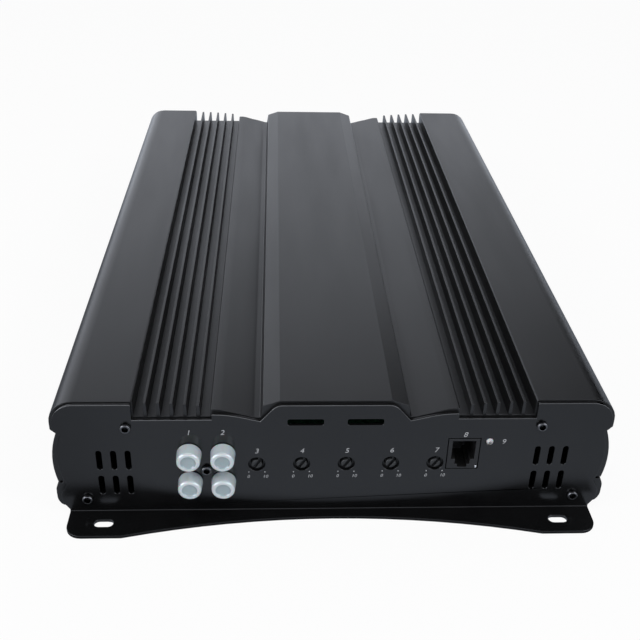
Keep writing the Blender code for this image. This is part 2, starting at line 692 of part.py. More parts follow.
def panel_outline():
    """The outline of an end panel, set in from the heatsink's section."""
    groove = GROOVE_FLOOR - PANEL_GROOVE_INSET
    shoulder = SHOULDER - PANEL_SHOULDER_INSET
    wing_top = HEATSINK_TOP - PANEL_WING_INSET
    top = HEATSINK_TOP - PANEL_TOP_INSET
    valley = VALLEY - PANEL_VALLEY_INSET
    crest = rounded([(0, top, 0),
                     (PANEL_CREST_HALF_WIDTH, top, PANEL_CREST_RADIUS),
                     (VALLEY_START, valley, 0)])
    rise = shoulder_rise(RISE_START - PANEL_RISE_SPREAD, RISE_END + PANEL_RISE_SPREAD,
                         valley, shoulder)
    bank_start = FIN_BANK_START - PANEL_STEP_INSET
    bank_end = FIN_BANK_END + PANEL_STEP_INSET
    corner_x = PANEL_HALF_WIDTH - PANEL_CORNER_RADIUS
    corner_z = wing_top - PANEL_CORNER_RADIUS
    bank = rounded([(RISE_END + PANEL_RISE_SPREAD, shoulder, 0),
                    (bank_start, shoulder, SOFT_EDGE_RADIUS),
                    (bank_start, groove, 0),
                    (bank_end, groove, 0),
                    (bank_end, wing_top, SOFT_EDGE_RADIUS),
                    (corner_x, wing_top, 0)])
    corner = arc(corner_x, corner_z, PANEL_CORNER_RADIUS, 90, 0)
    overhang = HEATSINK_TOP - OVERHANG_DEPTH
    notch_x = HALF_WIDTH - PANEL_NOTCH_INSET
    notch = rounded([corner[-1] + (0,),
                     (PANEL_HALF_WIDTH, overhang + PANEL_WING_INSET, SOFT_EDGE_RADIUS),
                     (notch_x, overhang - OVERHANG_UNDERCUT_DROP, 0)])
    belly = bulged(notch[-1], (notch_x, SIDE_GROOVE_HEIGHT), PANEL_BELLY_BULGE, 8)
    bead_x = HALF_WIDTH - PANEL_BEAD_INSET
    bead = rounded([(notch_x, SIDE_GROOVE_HEIGHT, 0),
                    (bead_x, BEAD_TOP_HEIGHT - PANEL_BEAD_INSET, BEAD_HEEL_RADIUS),
                    (bead_x, BEAD_LOWER_HEIGHT, BEAD_RADIUS),
                    (FOOT_HALF_WIDTH, SHEET_THICKNESS + 2 * BEND_RADIUS, SOFT_EDGE_RADIUS),
                    (FOOT_HALF_WIDTH, -SHEET_THICKNESS, 0),
                    (0, -SHEET_THICKNESS, 0)])
    return mirrored(crest + rise + bank[1:-1] + corner + notch[1:] + belly[1:] + bead[1:])


def foot_outline(side):
    """The plan of an end panel's foot, on the side of the heatsink given by the sign of side."""
    tip = PANEL_BACK - FIT_GAP + FOOT_REACH
    waist = PANEL_BACK - FIT_GAP + FOOT_WAIST_REACH
    wide = HALF_WIDTH + SHEET_THICKNESS
    step = PANEL_FACE + FIT_GAP
    pad_end = FOOT_HALF_WIDTH - FOOT_PAD_WIDTH
    hollow = tip - waist
    hollow_radius = (pad_end ** 2 + hollow ** 2) / (2 * hollow)
    sweep = asin(pad_end / hollow_radius) * 180 / pi
    right = rounded([(0, PANEL_BACK - SHEET_THICKNESS, 0), (wide, PANEL_BACK - SHEET_THICKNESS, 0),
                     (wide, step, 0), (FOOT_HALF_WIDTH, step, 0),
                     (FOOT_HALF_WIDTH, tip, FOOT_CORNER_RADIUS), (pad_end, tip, 0)])
    edge = arc(0, waist + hollow_radius, hollow_radius, -90 + sweep, -90)
    return [(x, side * y) for x, y in mirrored(right + edge[1:])]


def sheet_section(side):
    """The L section of a bent sheet: the upright plate, the fold and the foot."""
    top = HEATSINK_TOP + SHEET_THICKNESS
    tip = PANEL_BACK + FOOT_REACH + SHEET_THICKNESS
    section = rounded([(PANEL_BACK, top, 0),
                       (PANEL_BACK, 0, SHEET_THICKNESS + BEND_RADIUS),
                       (tip, 0, 0), (tip, SHEET_THICKNESS, 0),
                       (PANEL_FACE, SHEET_THICKNESS, BEND_RADIUS), (PANEL_FACE, top, 0)])
    return [(side * y, z) for y, z in section]


def vents():
    """The ventilation slots that both end panels have."""
    top_z = HEATSINK_TOP - TOP_VENT_DEPTH
    holes = []
    for sign in (-1, 1):
        middle = sign * TOP_VENT_OFFSET
        corners = rectangle(middle - TOP_VENT_LENGTH / 2, top_z - TOP_VENT_HEIGHT / 2,
                            middle + TOP_VENT_LENGTH / 2, top_z + TOP_VENT_HEIGHT / 2)
        holes.append(rounded([(x, z, TOP_VENT_CORNER) for x, z in corners], closed=True))
        for column in range(SIDE_VENT_COUNT):
            x = sign * (FIN_BANK_END + SIDE_VENT_OFFSET + column * SIDE_VENT_PITCH)
            for z in SIDE_VENT_HEIGHTS:
                holes.append(slot(x, z + sign * SIDE_VENT_SKEW, SIDE_VENT_WIDTH, SIDE_VENT_LENGTH))
    return holes


def panel_screw_spots():
    """Where the four screws of an end panel go, as (name, x, z)."""
    spots = []
    for side, sign in (("left", -1), ("right", 1)):
        spots.append(("upper_" + side, sign * UPPER_PORT[0], UPPER_PORT[1]))
        spots.append(("lower_" + side, sign * LOWER_PORT[0], LOWER_PORT[1]))
    return spots


def build_end_panel(name, side, openings):
    """A bent sheet trimmed to its upright outline, with openings, and to its foot's plan."""
    screw_hole = SCREW_RADIUS + SCREW_CLEARANCE
    holes = vents() + openings + [circle(x, z, screw_hole) for _, x, z in panel_screw_spots()]
    reach = FOOT_REACH + 4 * SHEET_THICKNESS
    made = flat_solid(name, [sheet_section(side)], HEATSINK_WIDTH, (0, 0, 0), "SIDE", COATED_STEEL)
    upright = flat_solid(name + "_upright_trim", [panel_outline()] + holes, 2 * reach,
                         (0, side * PANEL_BACK, 0), "FRONT", COATED_STEEL)
    combine(made, upright, "INTERSECT")
    tip = PANEL_BACK - FIT_GAP
    slots = [slot(sign * (HALF_WIDTH - FOOT_SLOT_INSET), side * (tip + FOOT_SLOT_REACH),
                  FOOT_SLOT_LENGTH, FOOT_SLOT_WIDTH) for sign in (-1, 1)]
    plan = flat_solid(name + "_foot_trim", [foot_outline(side)] + slots, 3 * HEATSINK_TOP,
                      (0, 0, 0), "UP", COATED_STEEL)
    combine(made, plan, "INTERSECT")
    return made


def control_openings():
    """The holes for the jacks, trimmers, remote socket and indicator."""
    holes = [circle(x, z, RCA_PANEL_HOLE_RADIUS) for _, x, z in rca_spots()]
    holes.append(circle(RCA_CENTRE_X, RCA_SCREW_Z, SCREW_RADIUS + SCREW_CLEARANCE))
    holes += [circle(x, POT_CENTRE_Z, POT_HOLE_RADIUS) for _, x in pot_spots()]
    half = SOCKET_WIDTH / 2 + FIT_GAP
    holes.append(rectangle(SOCKET_CENTRE_X - half, COMPONENT_TOP - SOCKET_HEIGHT - FIT_GAP,
                           SOCKET_CENTRE_X + half, COMPONENT_TOP + FIT_GAP))
    holes.append(circle(LED_X, LED_Z, LED_HOLE_RADIUS))
    return holes


def power_openings():
    """The holes for the two terminal blocks."""
    holes = []
    for centre_x, ways in TERMINAL_BLOCKS.values():
        half = block_width(ways) / 2 + FIT_GAP
        holes.append(rectangle(centre_x - half, TERMINAL_BASE_HEIGHT - FIT_GAP,
                               centre_x + half, terminal_top() + FIT_GAP))
    return holes


# ---------------------------------------------------------------- cover and screws

def cover_screw_places():
    """The four screws of the bottom cover, as (name, centre under the head)."""
    places = []
    for end, y_sign in (("front", -1), ("rear", 1)):
        for side, x_sign in (("left", -1), ("right", 1)):
            name = "cover_screw_" + end + "_" + side
            places.append((name, (x_sign * COVER_SCREW_X, y_sign * COVER_SCREW_REACH, COVER_UNDERSIDE)))
    return places


def build_cover():
    """The flat plate under the heatsink, countersunk for its screws."""
    half = HALF_WIDTH - COVER_SIDE_INSET
    made = box("bottom_cover", (-half, -HALF_LENGTH, COVER_UNDERSIDE), (half, HALF_LENGTH, COVER_TOP),
               COATED_STEEL)
    for name, centre in cover_screw_places():
        wide = COVER_SCREW_HEAD_RADIUS + SCREW_CLEARANCE
        narrow = SCREW_RADIUS + SCREW_CLEARANCE
        over = COVER_THICKNESS / 2
        sink = turned(name + "_sink", [(0, 3 * COVER_THICKNESS), (narrow, 3 * COVER_THICKNESS),
                                       (narrow, wide - narrow), (wide, 0), (wide, -over), (0, -over)],
                      centre, "UP", COATED_STEEL, SCREW_STEPS)
        combine(made, sink)
    return made


def cross_recess(name, centre, axis, colour):
    """The tool for a cross recess whose mouth is at centre and which faces along axis."""
    long = SCREW_RECESS_SPAN / 2
    short = SCREW_RECESS_WIDTH / 2
    cross = [(long, -short), (long, short), (short, short), (short, long), (-short, long),
             (-short, short), (-long, short), (-long, -short), (-short, -short), (-short, -long),
             (short, -long), (short, -short)]
    made = flat_solid(name, [cross], 2 * SCREW_RECESS_DEPTH, (0, 0, 0), "UP", colour)
    turn = Euler(AXES[axis]).to_matrix().to_4x4()
    made.matrix_world = Matrix.Translation(centre) @ turn @ made.matrix_world
    return made


def pan_head_screw(length):
    """A pan head screw at the origin, its head's seat at zero and its head towards -Y."""
    head = SCREW_HEAD_HEIGHT
    profile = [(0, head), (0.6 * SCREW_HEAD_RADIUS, head), (0.9 * SCREW_HEAD_RADIUS, 0.75 * head),
               (SCREW_HEAD_RADIUS, 0.35 * head), (SCREW_HEAD_RADIUS, 0), (SCREW_RADIUS, 0),
               (SCREW_RADIUS, -length), (0, -length)]
    made = turned("pan_screw", profile, (0, 0, 0), "FRONT", BLACK_SCREW, SCREW_STEPS)
    combine(made, cross_recess("pan_recess", (0, -head, 0), "FRONT", BLACK_SCREW))
    return finished(made)


def build_screws():
    """The screws of both end panels, the jack block and the cover."""
    seat = PANEL_FACE + FIT_GAP
    pattern = pan_head_screw(SCREW_LENGTH)
    rear_pattern = pattern.copy()
    rear_pattern.rotation_euler = AXES["BACK"]
    front = [("control_panel_screw_" + name, (x, -seat, z)) for name, x, z in panel_screw_spots()]
    front.append(("rca_block_screw", (RCA_CENTRE_X, -seat, RCA_SCREW_Z)))
    copies(pattern, front)
    copies(rear_pattern, [("power_panel_screw_" + name, (x, seat, z)) for name, x, z in panel_screw_spots()])
    head = COVER_SCREW_HEAD_RADIUS - SCREW_RADIUS
    flat = turned("flat_screw", [(0, 0), (COVER_SCREW_HEAD_RADIUS, 0), (SCREW_RADIUS, -head),
                                 (SCREW_RADIUS, -COVER_SCREW_LENGTH), (0, -COVER_SCREW_LENGTH)],
                  (0, 0, 0), "DOWN", BLACK_SCREW, SCREW_STEPS)
    combine(flat, cross_recess("flat_recess", (0, 0, 0), "DOWN", BLACK_SCREW))
    copies(finished(flat), cover_screw_places())


# ---------------------------------------------------------------- control end

def rca_spots():
    """The four jacks, as (name, x, z). Outputs are on the left and inputs on the right."""
    spots = []
    for column, sign_x in (("output", -1), ("input", 1)):
        for row, sign_z in (("upper", 1), ("lower", -1)):
            spots.append(("rca_" + column + "_" + row, RCA_CENTRE_X + sign_x * RCA_PITCH_X / 2,
                          RCA_CENTRE_Z + sign_z * RCA_PITCH_Z / 2))
    return spots


def build_rca_jacks():
    """The jack block with its four cores, and the sleeves round them and caps over them."""
    face = -PANEL_BACK + FIT_GAP
    half = RCA_PITCH_X / 2 + RCA_BLOCK_MARGIN
    low_z = RCA_CENTRE_Z - RCA_PITCH_Z / 2 - RCA_BLOCK_MARGIN
    block = box("rca_jack_block", (RCA_CENTRE_X - half, face, low_z),
                (RCA_CENTRE_X + half, face + RCA_BLOCK_DEPTH, COMPONENT_TOP), BLACK_PLASTIC)
    core_radius = RCA_SLEEVE_RADIUS - RCA_SLEEVE_WALL - FIT_GAP
    mouth = -PANEL_FACE - RCA_SLEEVE_REACH
    core_end = mouth + RCA_CORE_SETBACK
    seat = face + RCA_SLEEVE_SEAT
    for name, x, z in rca_spots():
        core = cylinder(name + "_core", core_radius, seat - core_end, (x, seat, z), "FRONT", BLACK_PLASTIC)
        trench_depth = RCA_SLEEVE_SEAT + FIT_GAP
        outer = RCA_SLEEVE_RADIUS + FIT_GAP
        trench = turned(name + "_trench", [(core_radius, 2 * trench_depth), (outer, 2 * trench_depth),
                                           (outer, 0), (core_radius, 0)],
                        (x, face + trench_depth, z), "FRONT", BLACK_PLASTIC, ring=True)
        hole = cylinder(name + "_hole", RCA_CORE_BORE_RADIUS, 2 * (seat - core_end),
                        (x, seat, z), "FRONT", BLACK_PLASTIC, SCREW_STEPS)
        combine(block, trench)
        combine(block, core, "UNION")
        combine(block, hole)
    screw_hole = cylinder("rca_screw_hole", SCREW_RADIUS + SCREW_CLEARANCE, 2 * RCA_BLOCK_DEPTH,
                          (RCA_CENTRE_X, face + SCREW_LENGTH, RCA_SCREW_Z), "FRONT", BLACK_PLASTIC,
                          SCREW_STEPS)
    combine(block, screw_hole)
    inner = RCA_SLEEVE_RADIUS - RCA_SLEEVE_WALL
    sleeve_length = seat - mouth
    sleeve = turned("sleeve", [(inner, sleeve_length), (RCA_SLEEVE_RADIUS, sleeve_length),
                               (RCA_SLEEVE_RADIUS, 0), (inner, 0)],
                    (0, 0, 0), "FRONT", NICKEL, ring=True)
    copies(finished(sleeve), [(name + "_sleeve", (x, seat, z)) for name, x, z in rca_spots()])
    copies(finished(rca_cap()),
           [(name + "_cap", (x, -PANEL_FACE - FIT_GAP, z)) for name, x, z in rca_spots()])


def rca_cap():
    """A push-on cap: a cup with a rounded rim and a dished end, its mouth at the origin."""
    bore = RCA_SLEEVE_RADIUS + FIT_GAP
    floor = CAP_LENGTH - CAP_END_WALL
    rim = CAP_NOSE_RADIUS - CAP_EDGE_RADIUS
    nose = [(rim + CAP_EDGE_RADIUS * sin(angle), CAP_LENGTH - CAP_EDGE_RADIUS * (1 - cos(angle)))
            for angle in (0, pi / 4, pi / 2)]
    profile = ([(0, CAP_LENGTH - CAP_DISH_DEPTH), (CAP_DISH_RADIUS, CAP_LENGTH - CAP_DISH_DEPTH),
                (CAP_DISH_RADIUS + CAP_DISH_DEPTH, CAP_LENGTH)] + nose
               + [(CAP_RADIUS, 0), (bore, 0), (bore, floor), (0, floor)])
    return turned("cap", profile, (0, 0, 0), "FRONT", MILKY_PLASTIC)


def pot_spots():
    """The five trimmers from left to right, as (name, x)."""
    names = ("gain", "bass_boost", "low_pass", "subsonic", "phase_shift")
    return [(name, POT_CENTRE_X + (index - 2) * POT_PITCH) for index, name in enumerate(names)]


def build_pots():
    """The trimmer bodies and their slotted shafts, which turn about Y."""
    face = -PANEL_BACK + FIT_GAP
    half = POT_BODY_WIDTH / 2
    back = face + POT_SHAFT_SEAT
    length = back + PANEL_FACE
    for name, x in pot_spots():
        body = box(name + "_pot", (x - half, face, POT_CENTRE_Z - POT_BODY_BELOW),
                   (x + half, face + POT_BODY_DEPTH, COMPONENT_TOP), BLACK_PLASTIC)
        bore = cylinder(name + "_bore", POT_SHAFT_RADIUS + FIT_GAP, 2 * POT_SHAFT_SEAT,
                        (x, back + FIT_GAP, POT_CENTRE_Z), "FRONT", BLACK_PLASTIC, 16)
        combine(body, bore)
    shaft = cylinder("shaft", POT_SHAFT_RADIUS, length, (0, 0, 0), "FRONT", COATED_STEEL, 16)
    half_slot = POT_SLOT_WIDTH / 2
    slot_tool = box("shaft_slot", (-half_slot, -length - POT_SLOT_DEPTH, -2 * POT_SHAFT_RADIUS),
                    (half_slot, -length + POT_SLOT_DEPTH, 2 * POT_SHAFT_RADIUS), COATED_STEEL)
    slot_tool.rotation_euler = (0, radians(POT_START_ANGLE), 0)
    combine(shaft, slot_tool)
    copies(finished(shaft), [(name + "_shaft", (x, back, POT_CENTRE_Z)) for name, x in pot_spots()])


def build_remote_socket():
    """The modular socket, its mouth stepped down to the plug's latch at the bottom."""
    face = -PANEL_FACE
    back = face + SOCKET_DEPTH
    half = SOCKET_WIDTH / 2
    made = box("remote_jack", (SOCKET_CENTRE_X - half, face, COMPONENT_TOP - SOCKET_HEIGHT),
               (SOCKET_CENTRE_X + half, back, COMPONENT_TOP), BLACK_PLASTIC)
    top = COMPONENT_TOP - SOCKET_ROOF
    step = top - SOCKET_MOUTH_HEIGHT
    tab = step - SOCKET_STEP_HEIGHT
    bottom = tab - SOCKET_TAB_HEIGHT
    half_mouth = SOCKET_MOUTH_WIDTH / 2
    half_step = SOCKET_STEP_WIDTH / 2
    half_tab = SOCKET_TAB_WIDTH / 2
    left = [(-half_mouth, top), (-half_mouth, step), (-half_step, step), (-half_step, tab),
            (-half_tab, tab), (-half_tab, bottom)]
    mouth = [(SOCKET_CENTRE_X + x, z) for x, z in left + [(-x, z) for x, z in reversed(left)]]
    depth = SOCKET_DEPTH - SOCKET_BACK_WALL
    tool = flat_solid("remote_jack_mouth", [mouth], 2 * depth, (0, face, 0), "FRONT", BLACK_PLASTIC)
    combine(made, tool)
    return made


def build_indicator():
    """The indicator: a round nosed lens joined to its square holder under the board."""
    face = -PANEL_BACK + FIT_GAP
    length = LED_REACH + PANEL_FACE + face
    nose = [(LED_RADIUS * sin(angle), length - LED_RADIUS * (1 - cos(angle)))
            for angle in (0, pi / 6, pi / 3, pi / 2)]
    half = LED_HOLDER_WIDTH / 2
    made = box("power_led", (LED_X - half, face, COMPONENT_TOP - LED_HOLDER_HEIGHT),
               (LED_X + half, face + LED_HOLDER_DEPTH, COMPONENT_TOP), DIFFUSER)
    overlap = LED_HOLDER_DEPTH / 2
    lens = turned("power_led_lens", nose + [(LED_RADIUS, -overlap), (0, -overlap)],
                  (LED_X, face, LED_Z), "FRONT", DIFFUSER, 16)
    combine(made, lens, "UNION")
    return made


# ---------------------------------------------------------------- power end

# Each way of a block: name, contact width, wire bore radius, set screw radius
POWER_WAY = (POWER_CONTACT_WIDTH, POWER_BORE_RADIUS, POWER_SCREW_RADIUS)
TURN_ON_WAY = (TURN_ON_CONTACT_WIDTH, TURN_ON_BORE_RADIUS, TURN_ON_SCREW_RADIUS)
SPEAKER_WAY = (SPEAKER_CONTACT_WIDTH, SPEAKER_BORE_RADIUS, SPEAKER_SCREW_RADIUS)
TERMINAL_BLOCKS = {
    "power_terminal_block": (POWER_BLOCK_X, {"battery": POWER_WAY, "turn_on": TURN_ON_WAY,
                                             "ground": POWER_WAY}),
    "speaker_terminal_block": (SPEAKER_BLOCK_X, {"speaker_plus": SPEAKER_WAY,
                                                 "speaker_minus": SPEAKER_WAY}),
}


def terminal_top():
    """The height of the terminal blocks' upper faces."""
    return TERMINAL_BASE_HEIGHT + 2 * TERMINAL_WALL + CONTACT_HEIGHT + 2 * FIT_GAP


def block_width(ways):
    """The width of a block that holds these ways side by side."""
    pockets = sum(width + 2 * FIT_GAP for width, _, _ in ways.values())
    return pockets + (len(ways) + 1) * TERMINAL_WALL


def way_centres(centre_x, ways):
    """The middle of each way of a block, as (name, x, width, bore radius, screw radius)."""
    edge = centre_x - block_width(ways) / 2
    spots = []
    for name, (width, bore, screw) in ways.items():
        middle = edge + TERMINAL_WALL + FIT_GAP + width / 2
        spots.append((name, middle, width, bore, screw))
        edge += TERMINAL_WALL + width + 2 * FIT_GAP
    return spots


def build_terminals():
    """Both terminal blocks, each with a collar round it, and their contacts and set screws."""
    outer = PANEL_FACE + TERMINAL_REACH
    inner = PANEL_BACK - TERMINAL_INSIDE
    low = TERMINAL_BASE_HEIGHT
    top = terminal_top()
    pocket_low = low + TERMINAL_WALL
    contact_low = pocket_low + FIT_GAP
    contact_end = outer - TERMINAL_WALL - FIT_GAP
    bore_z = contact_low + CONTACT_HEIGHT / 2
    screw_y = outer - SET_SCREW_SETBACK
    for block_name, (centre_x, ways) in TERMINAL_BLOCKS.items():
        half = block_width(ways) / 2
        block = box(block_name, (centre_x - half, inner, low), (centre_x + half, outer, top),
                    BLACK_PLASTIC, TERMINAL_EDGE_RADIUS)
        collar_start = PANEL_FACE + FIT_GAP
        collar = box(block_name + "_collar",
                     (centre_x - half - TERMINAL_COLLAR, collar_start, low - TERMINAL_COLLAR),
                     (centre_x + half + TERMINAL_COLLAR, collar_start + TERMINAL_COLLAR_THICKNESS,
                      top + TERMINAL_COLLAR), BLACK_PLASTIC)
        combine(block, collar, "UNION")
        for name, x, width, bore, screw in way_centres(centre_x, ways):
            half_pocket = width / 2 + FIT_GAP
            pocket = box(name + "_pocket", (x - half_pocket, inner - TERMINAL_WALL, pocket_low),
                         (x + half_pocket, outer - TERMINAL_WALL, top - TERMINAL_WALL), BLACK_PLASTIC)
            wire = cylinder(name + "_wire_hole", bore + WIRE_HOLE_MARGIN, 4 * TERMINAL_WALL,
                            (x, outer - 2 * TERMINAL_WALL, bore_z), "BACK", BLACK_PLASTIC, 16)
            shaft = cylinder(name + "_screw_hole", screw + WIRE_HOLE_MARGIN, 4 * TERMINAL_WALL,
                             (x, screw_y, top - 2 * TERMINAL_WALL), "UP", BLACK_PLASTIC, SCREW_STEPS)
            combine(block, pocket)
            combine(block, wire)
            combine(block, shaft)
            contact = box(name + "_contact", (x - width / 2, contact_end - CONTACT_LENGTH, contact_low),
                          (x + width / 2, contact_end, contact_low + CONTACT_HEIGHT), BRASS)
            wire_bore = cylinder(name + "_wire_bore", bore, 2 * CONTACT_BORE_DEPTH,
                                 (x, contact_end - CONTACT_BORE_DEPTH, bore_z), "BACK", BRASS, 16)
            thread = cylinder(name + "_thread", screw + SCREW_CLEARANCE, CONTACT_HEIGHT,
                              (x, screw_y, bore_z), "UP", BRASS, SCREW_STEPS)
            combine(contact, wire_bore)
            combine(contact, thread)
            tip = bore_z + sqrt(bore ** 2 - min(screw, 0.9 * bore) ** 2)
            length = top - SET_SCREW_SINK - tip
            set_screw = cylinder(name + "_set_screw", screw, length, (x, screw_y, tip), "UP", STEEL,
                                 SCREW_STEPS)
            socket = cylinder(name + "_hex", 0.55 * screw, 2 * SET_SCREW_SOCKET_DEPTH,
                              (x, screw_y, tip + length - SET_SCREW_SOCKET_DEPTH), "UP", STEEL, 6)
            combine(set_screw, socket)


# ---------------------------------------------------------------- inside

def winding(name, radius, hole, height, x, y):
    """A toroid under the board, with a rounded section."""
    bend = min(WINDING_CORNER_RADIUS, 0.45 * (radius - hole), 0.45 * height)
    inner = [(hole, bend), (hole, height - bend), (hole + bend, height)]
    outer = [(radius - bend, height), (radius, height - bend), (radius, bend), (radius - bend, 0)]
    return turned(name, inner + outer + [(hole + bend, 0)], (x, y, COMPONENT_TOP - height), "UP",
                  WINDING, WINDING_STEPS, ring=True)


def transistor_row(name, sign):
    """Transistors in a row under one clamp bar, flat against a side wall."""
    middle_z = COMPONENT_TOP - TRANSISTOR_LENGTH / 2
    half_bar = CLAMP_BAR_HEIGHT / 2
    half_width = TRANSISTOR_WIDTH / 2
    first = TRANSISTOR_CENTRE_Y - (TRANSISTOR_COUNT - 1) * TRANSISTOR_PITCH / 2
    upper = []
    lower = []
    for index in range(TRANSISTOR_COUNT):
        y = first + index * TRANSISTOR_PITCH
        for edge, out in ((-half_width, 0), (-half_width, 1), (half_width, 1), (half_width, 0)):
            reach = TRANSISTOR_LENGTH / 2 if out else half_bar
            upper.append((y + edge, middle_z + reach))
            lower.append((y + edge, middle_z - reach))
    end = half_width + TRANSISTOR_WIDTH / 2
    last = first + (TRANSISTOR_COUNT - 1) * TRANSISTOR_PITCH
    outline = ([(first - end, middle_z + half_bar)] + upper
               + [(last + end, middle_z + half_bar), (last + end, middle_z - half_bar)]
               + lower[::-1] + [(first - end, middle_z - half_bar)])
    x = sign * (INNER_WALL_X - FIT_GAP - TRANSISTOR_THICKNESS / 2)
    return flat_solid(name, [outline], TRANSISTOR_THICKNESS, (x, 0, 0), "SIDE", BLACK_PLASTIC)


def build_inside():
    """The boards and the large components, which hang from the main board."""
    half = INNER_WALL_X - BOARD_SIDE_GAP
    end = HALF_LENGTH - BOARD_END_GAP
    box("main_board", (-half, -end, BOARD_UNDERSIDE), (half, end, BOARD_TOP), BOARD)
    half_driver = DRIVER_BOARD_LENGTH / 2
    box("driver_board", (DRIVER_BOARD_X, -half_driver, COMPONENT_TOP - DRIVER_BOARD_HEIGHT),
        (DRIVER_BOARD_X + BOARD_THICKNESS, half_driver, COMPONENT_TOP), BOARD)
    for name, y in zip(("front_transformer", "rear_transformer"), TRANSFORMER_PLACES_Y):
        winding(name, TRANSFORMER_RADIUS, TRANSFORMER_HOLE_RADIUS, TRANSFORMER_HEIGHT, TRANSFORMER_X, y)
    winding("output_inductor", INDUCTOR_RADIUS, INDUCTOR_HOLE_RADIUS, INDUCTOR_HEIGHT,
            INDUCTOR_X, INDUCTOR_Y)
    for index in range(CAPACITOR_COUNT):
        y = CAPACITOR_FIRST_Y + index * CAPACITOR_PITCH
        cylinder("storage_capacitor_" + str(index + 1), CAPACITOR_RADIUS, CAPACITOR_HEIGHT,
                 (CAPACITOR_X, y, COMPONENT_TOP - CAPACITOR_HEIGHT), "UP", SLEEVING)
    transistor_row("left_transistor_row", -1)
    transistor_row("right_transistor_row", 1)


build_heatsink()
build_end_panel("control_end_panel", -1, control_openings())
build_end_panel("power_end_panel", 1, power_openings())
build_cover()
build_screws()
build_rca_jacks()
build_pots()
build_remote_socket()
build_indicator()
build_terminals()
build_inside()
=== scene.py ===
"""The finish of a mono car amplifier: fine shapes, materials, panel printing, light and camera.

Metres, +Z up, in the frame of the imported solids. The controls face -Y and the power terminals +Y.
The file is laid out as an add-on and is run as a script.
"""
import json
import math
from contextlib import contextmanager

import bmesh
import bpy
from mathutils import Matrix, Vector

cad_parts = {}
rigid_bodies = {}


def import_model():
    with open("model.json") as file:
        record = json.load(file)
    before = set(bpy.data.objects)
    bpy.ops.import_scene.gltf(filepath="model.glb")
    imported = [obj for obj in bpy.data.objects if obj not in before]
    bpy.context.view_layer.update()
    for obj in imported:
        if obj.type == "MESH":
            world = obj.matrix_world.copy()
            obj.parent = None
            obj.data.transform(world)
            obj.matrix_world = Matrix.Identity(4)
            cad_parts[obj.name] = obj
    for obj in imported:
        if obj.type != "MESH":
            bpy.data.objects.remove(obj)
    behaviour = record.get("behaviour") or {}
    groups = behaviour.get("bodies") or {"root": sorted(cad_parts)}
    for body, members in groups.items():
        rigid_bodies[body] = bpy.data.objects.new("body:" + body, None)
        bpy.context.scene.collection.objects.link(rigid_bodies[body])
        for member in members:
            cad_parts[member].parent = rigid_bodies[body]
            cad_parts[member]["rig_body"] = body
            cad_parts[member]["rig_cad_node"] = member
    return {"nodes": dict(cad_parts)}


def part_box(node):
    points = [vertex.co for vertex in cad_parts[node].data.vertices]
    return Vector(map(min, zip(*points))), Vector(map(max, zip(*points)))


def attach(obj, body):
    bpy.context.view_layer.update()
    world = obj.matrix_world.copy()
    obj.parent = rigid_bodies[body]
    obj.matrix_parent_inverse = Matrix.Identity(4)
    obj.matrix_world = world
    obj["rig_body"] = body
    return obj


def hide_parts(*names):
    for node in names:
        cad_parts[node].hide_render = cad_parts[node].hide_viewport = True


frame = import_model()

bl_info = {
    "name": "Car Amplifier Finish",
    "version": (1, 0, 0),
    "blender": (4, 5, 0),
    "location": "3D View > Sidebar > Amplifier",
    "description": "Dresses the solids of a car amplifier and lights them",
    "category": "Object",
}

ROOT = "amplifier"
MERGE = 0.000005                  # for closing seams and merging loose corners
FLAT = math.radians(0.5)          # faces closer than this count as one flat face
CORNER = math.radians(28)         # edges sharper than this are rounded
RCA_JACKS = ("rca_output_upper", "rca_output_lower", "rca_input_upper", "rca_input_lower")
TRIMMERS = ("gain", "bass_boost", "low_pass", "subsonic", "phase_shift")
WAYS = ("battery", "turn_on", "ground", "speaker_plus", "speaker_minus")
PANEL_SCREWS = ("upper_left", "upper_right", "lower_left", "lower_right")
COVER_SCREWS = ("front_left", "front_right", "rear_left", "rear_right")
BOARDS = ("main_board", "driver_board")
WINDINGS = ("front_transformer", "rear_transformer", "output_inductor")
CAPACITORS = ("storage_capacitor_1", "storage_capacitor_2", "storage_capacitor_3")
TRANSISTORS = ("left_transistor_row", "right_transistor_row")
PANEL_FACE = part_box("remote_jack")[0].y  # the socket's mouth is flush with the control end panel
FACE_FRONT = (math.pi / 2, 0, 0)  # turns +Z to -Y
FACE_BACK = (-math.pi / 2, 0, 0)  # turns +Z to +Y
FACE_DOWN = (math.pi, 0, 0)       # turns +Z to -Z


# ---------------------------------------------------------------- settings

def size(name, description, default, **more):
    """A length setting in metres."""
    return bpy.props.FloatProperty(name=name, description=description, default=default,
                                   min=0, precision=5, unit="LENGTH", **more)


def colour(name, description, default):
    """A colour setting in linear values."""
    return bpy.props.FloatVectorProperty(name=name, description=description, default=default,
                                         subtype="COLOR", size=3, min=0, max=1)


class CaseSettings(bpy.types.PropertyGroup):
    """Sizes and colours of the heatsink, end panels and cover."""
    aluminium_edge: size("Aluminium edge", "Rounding of the heatsink's edges", 0.00018)
    sheet_edge: size("Sheet edge", "Rounding of the sheet steel's edges", 0.00022)
    # The sheets' upper edges above this height are painted lighter, a painted highlight.
    rim_highlight_height: size("Rim height", "Height over which the sheets' upper edges are thinly coated", 0.040)
    anodised: colour("Anodised", "Dye of the anodised aluminium", (0.0062, 0.0063, 0.0066))
    coat: colour("Powder coat", "Colour of the coated steel", (0.0042, 0.0043, 0.0046))


class ScrewSettings(bpy.types.PropertyGroup):
    """Sizes and colour of the screws."""
    shoulder: size("Shoulder", "Rounding of the pan head's shoulder", 0.0006)
    recess_span: size("Recess span", "Width across the cross recess", 0.0035)
    recess_arm: size("Recess arm", "Width of the recess's arms", 0.0008)
    recess_core: size("Recess core", "Radius of the recess's middle", 0.0014)
    recess_depth: size("Recess depth", "Depth of the cross recess", 0.0015)
    oxide: colour("Black oxide", "Colour of the blackened screws", (0.14, 0.14, 0.145))


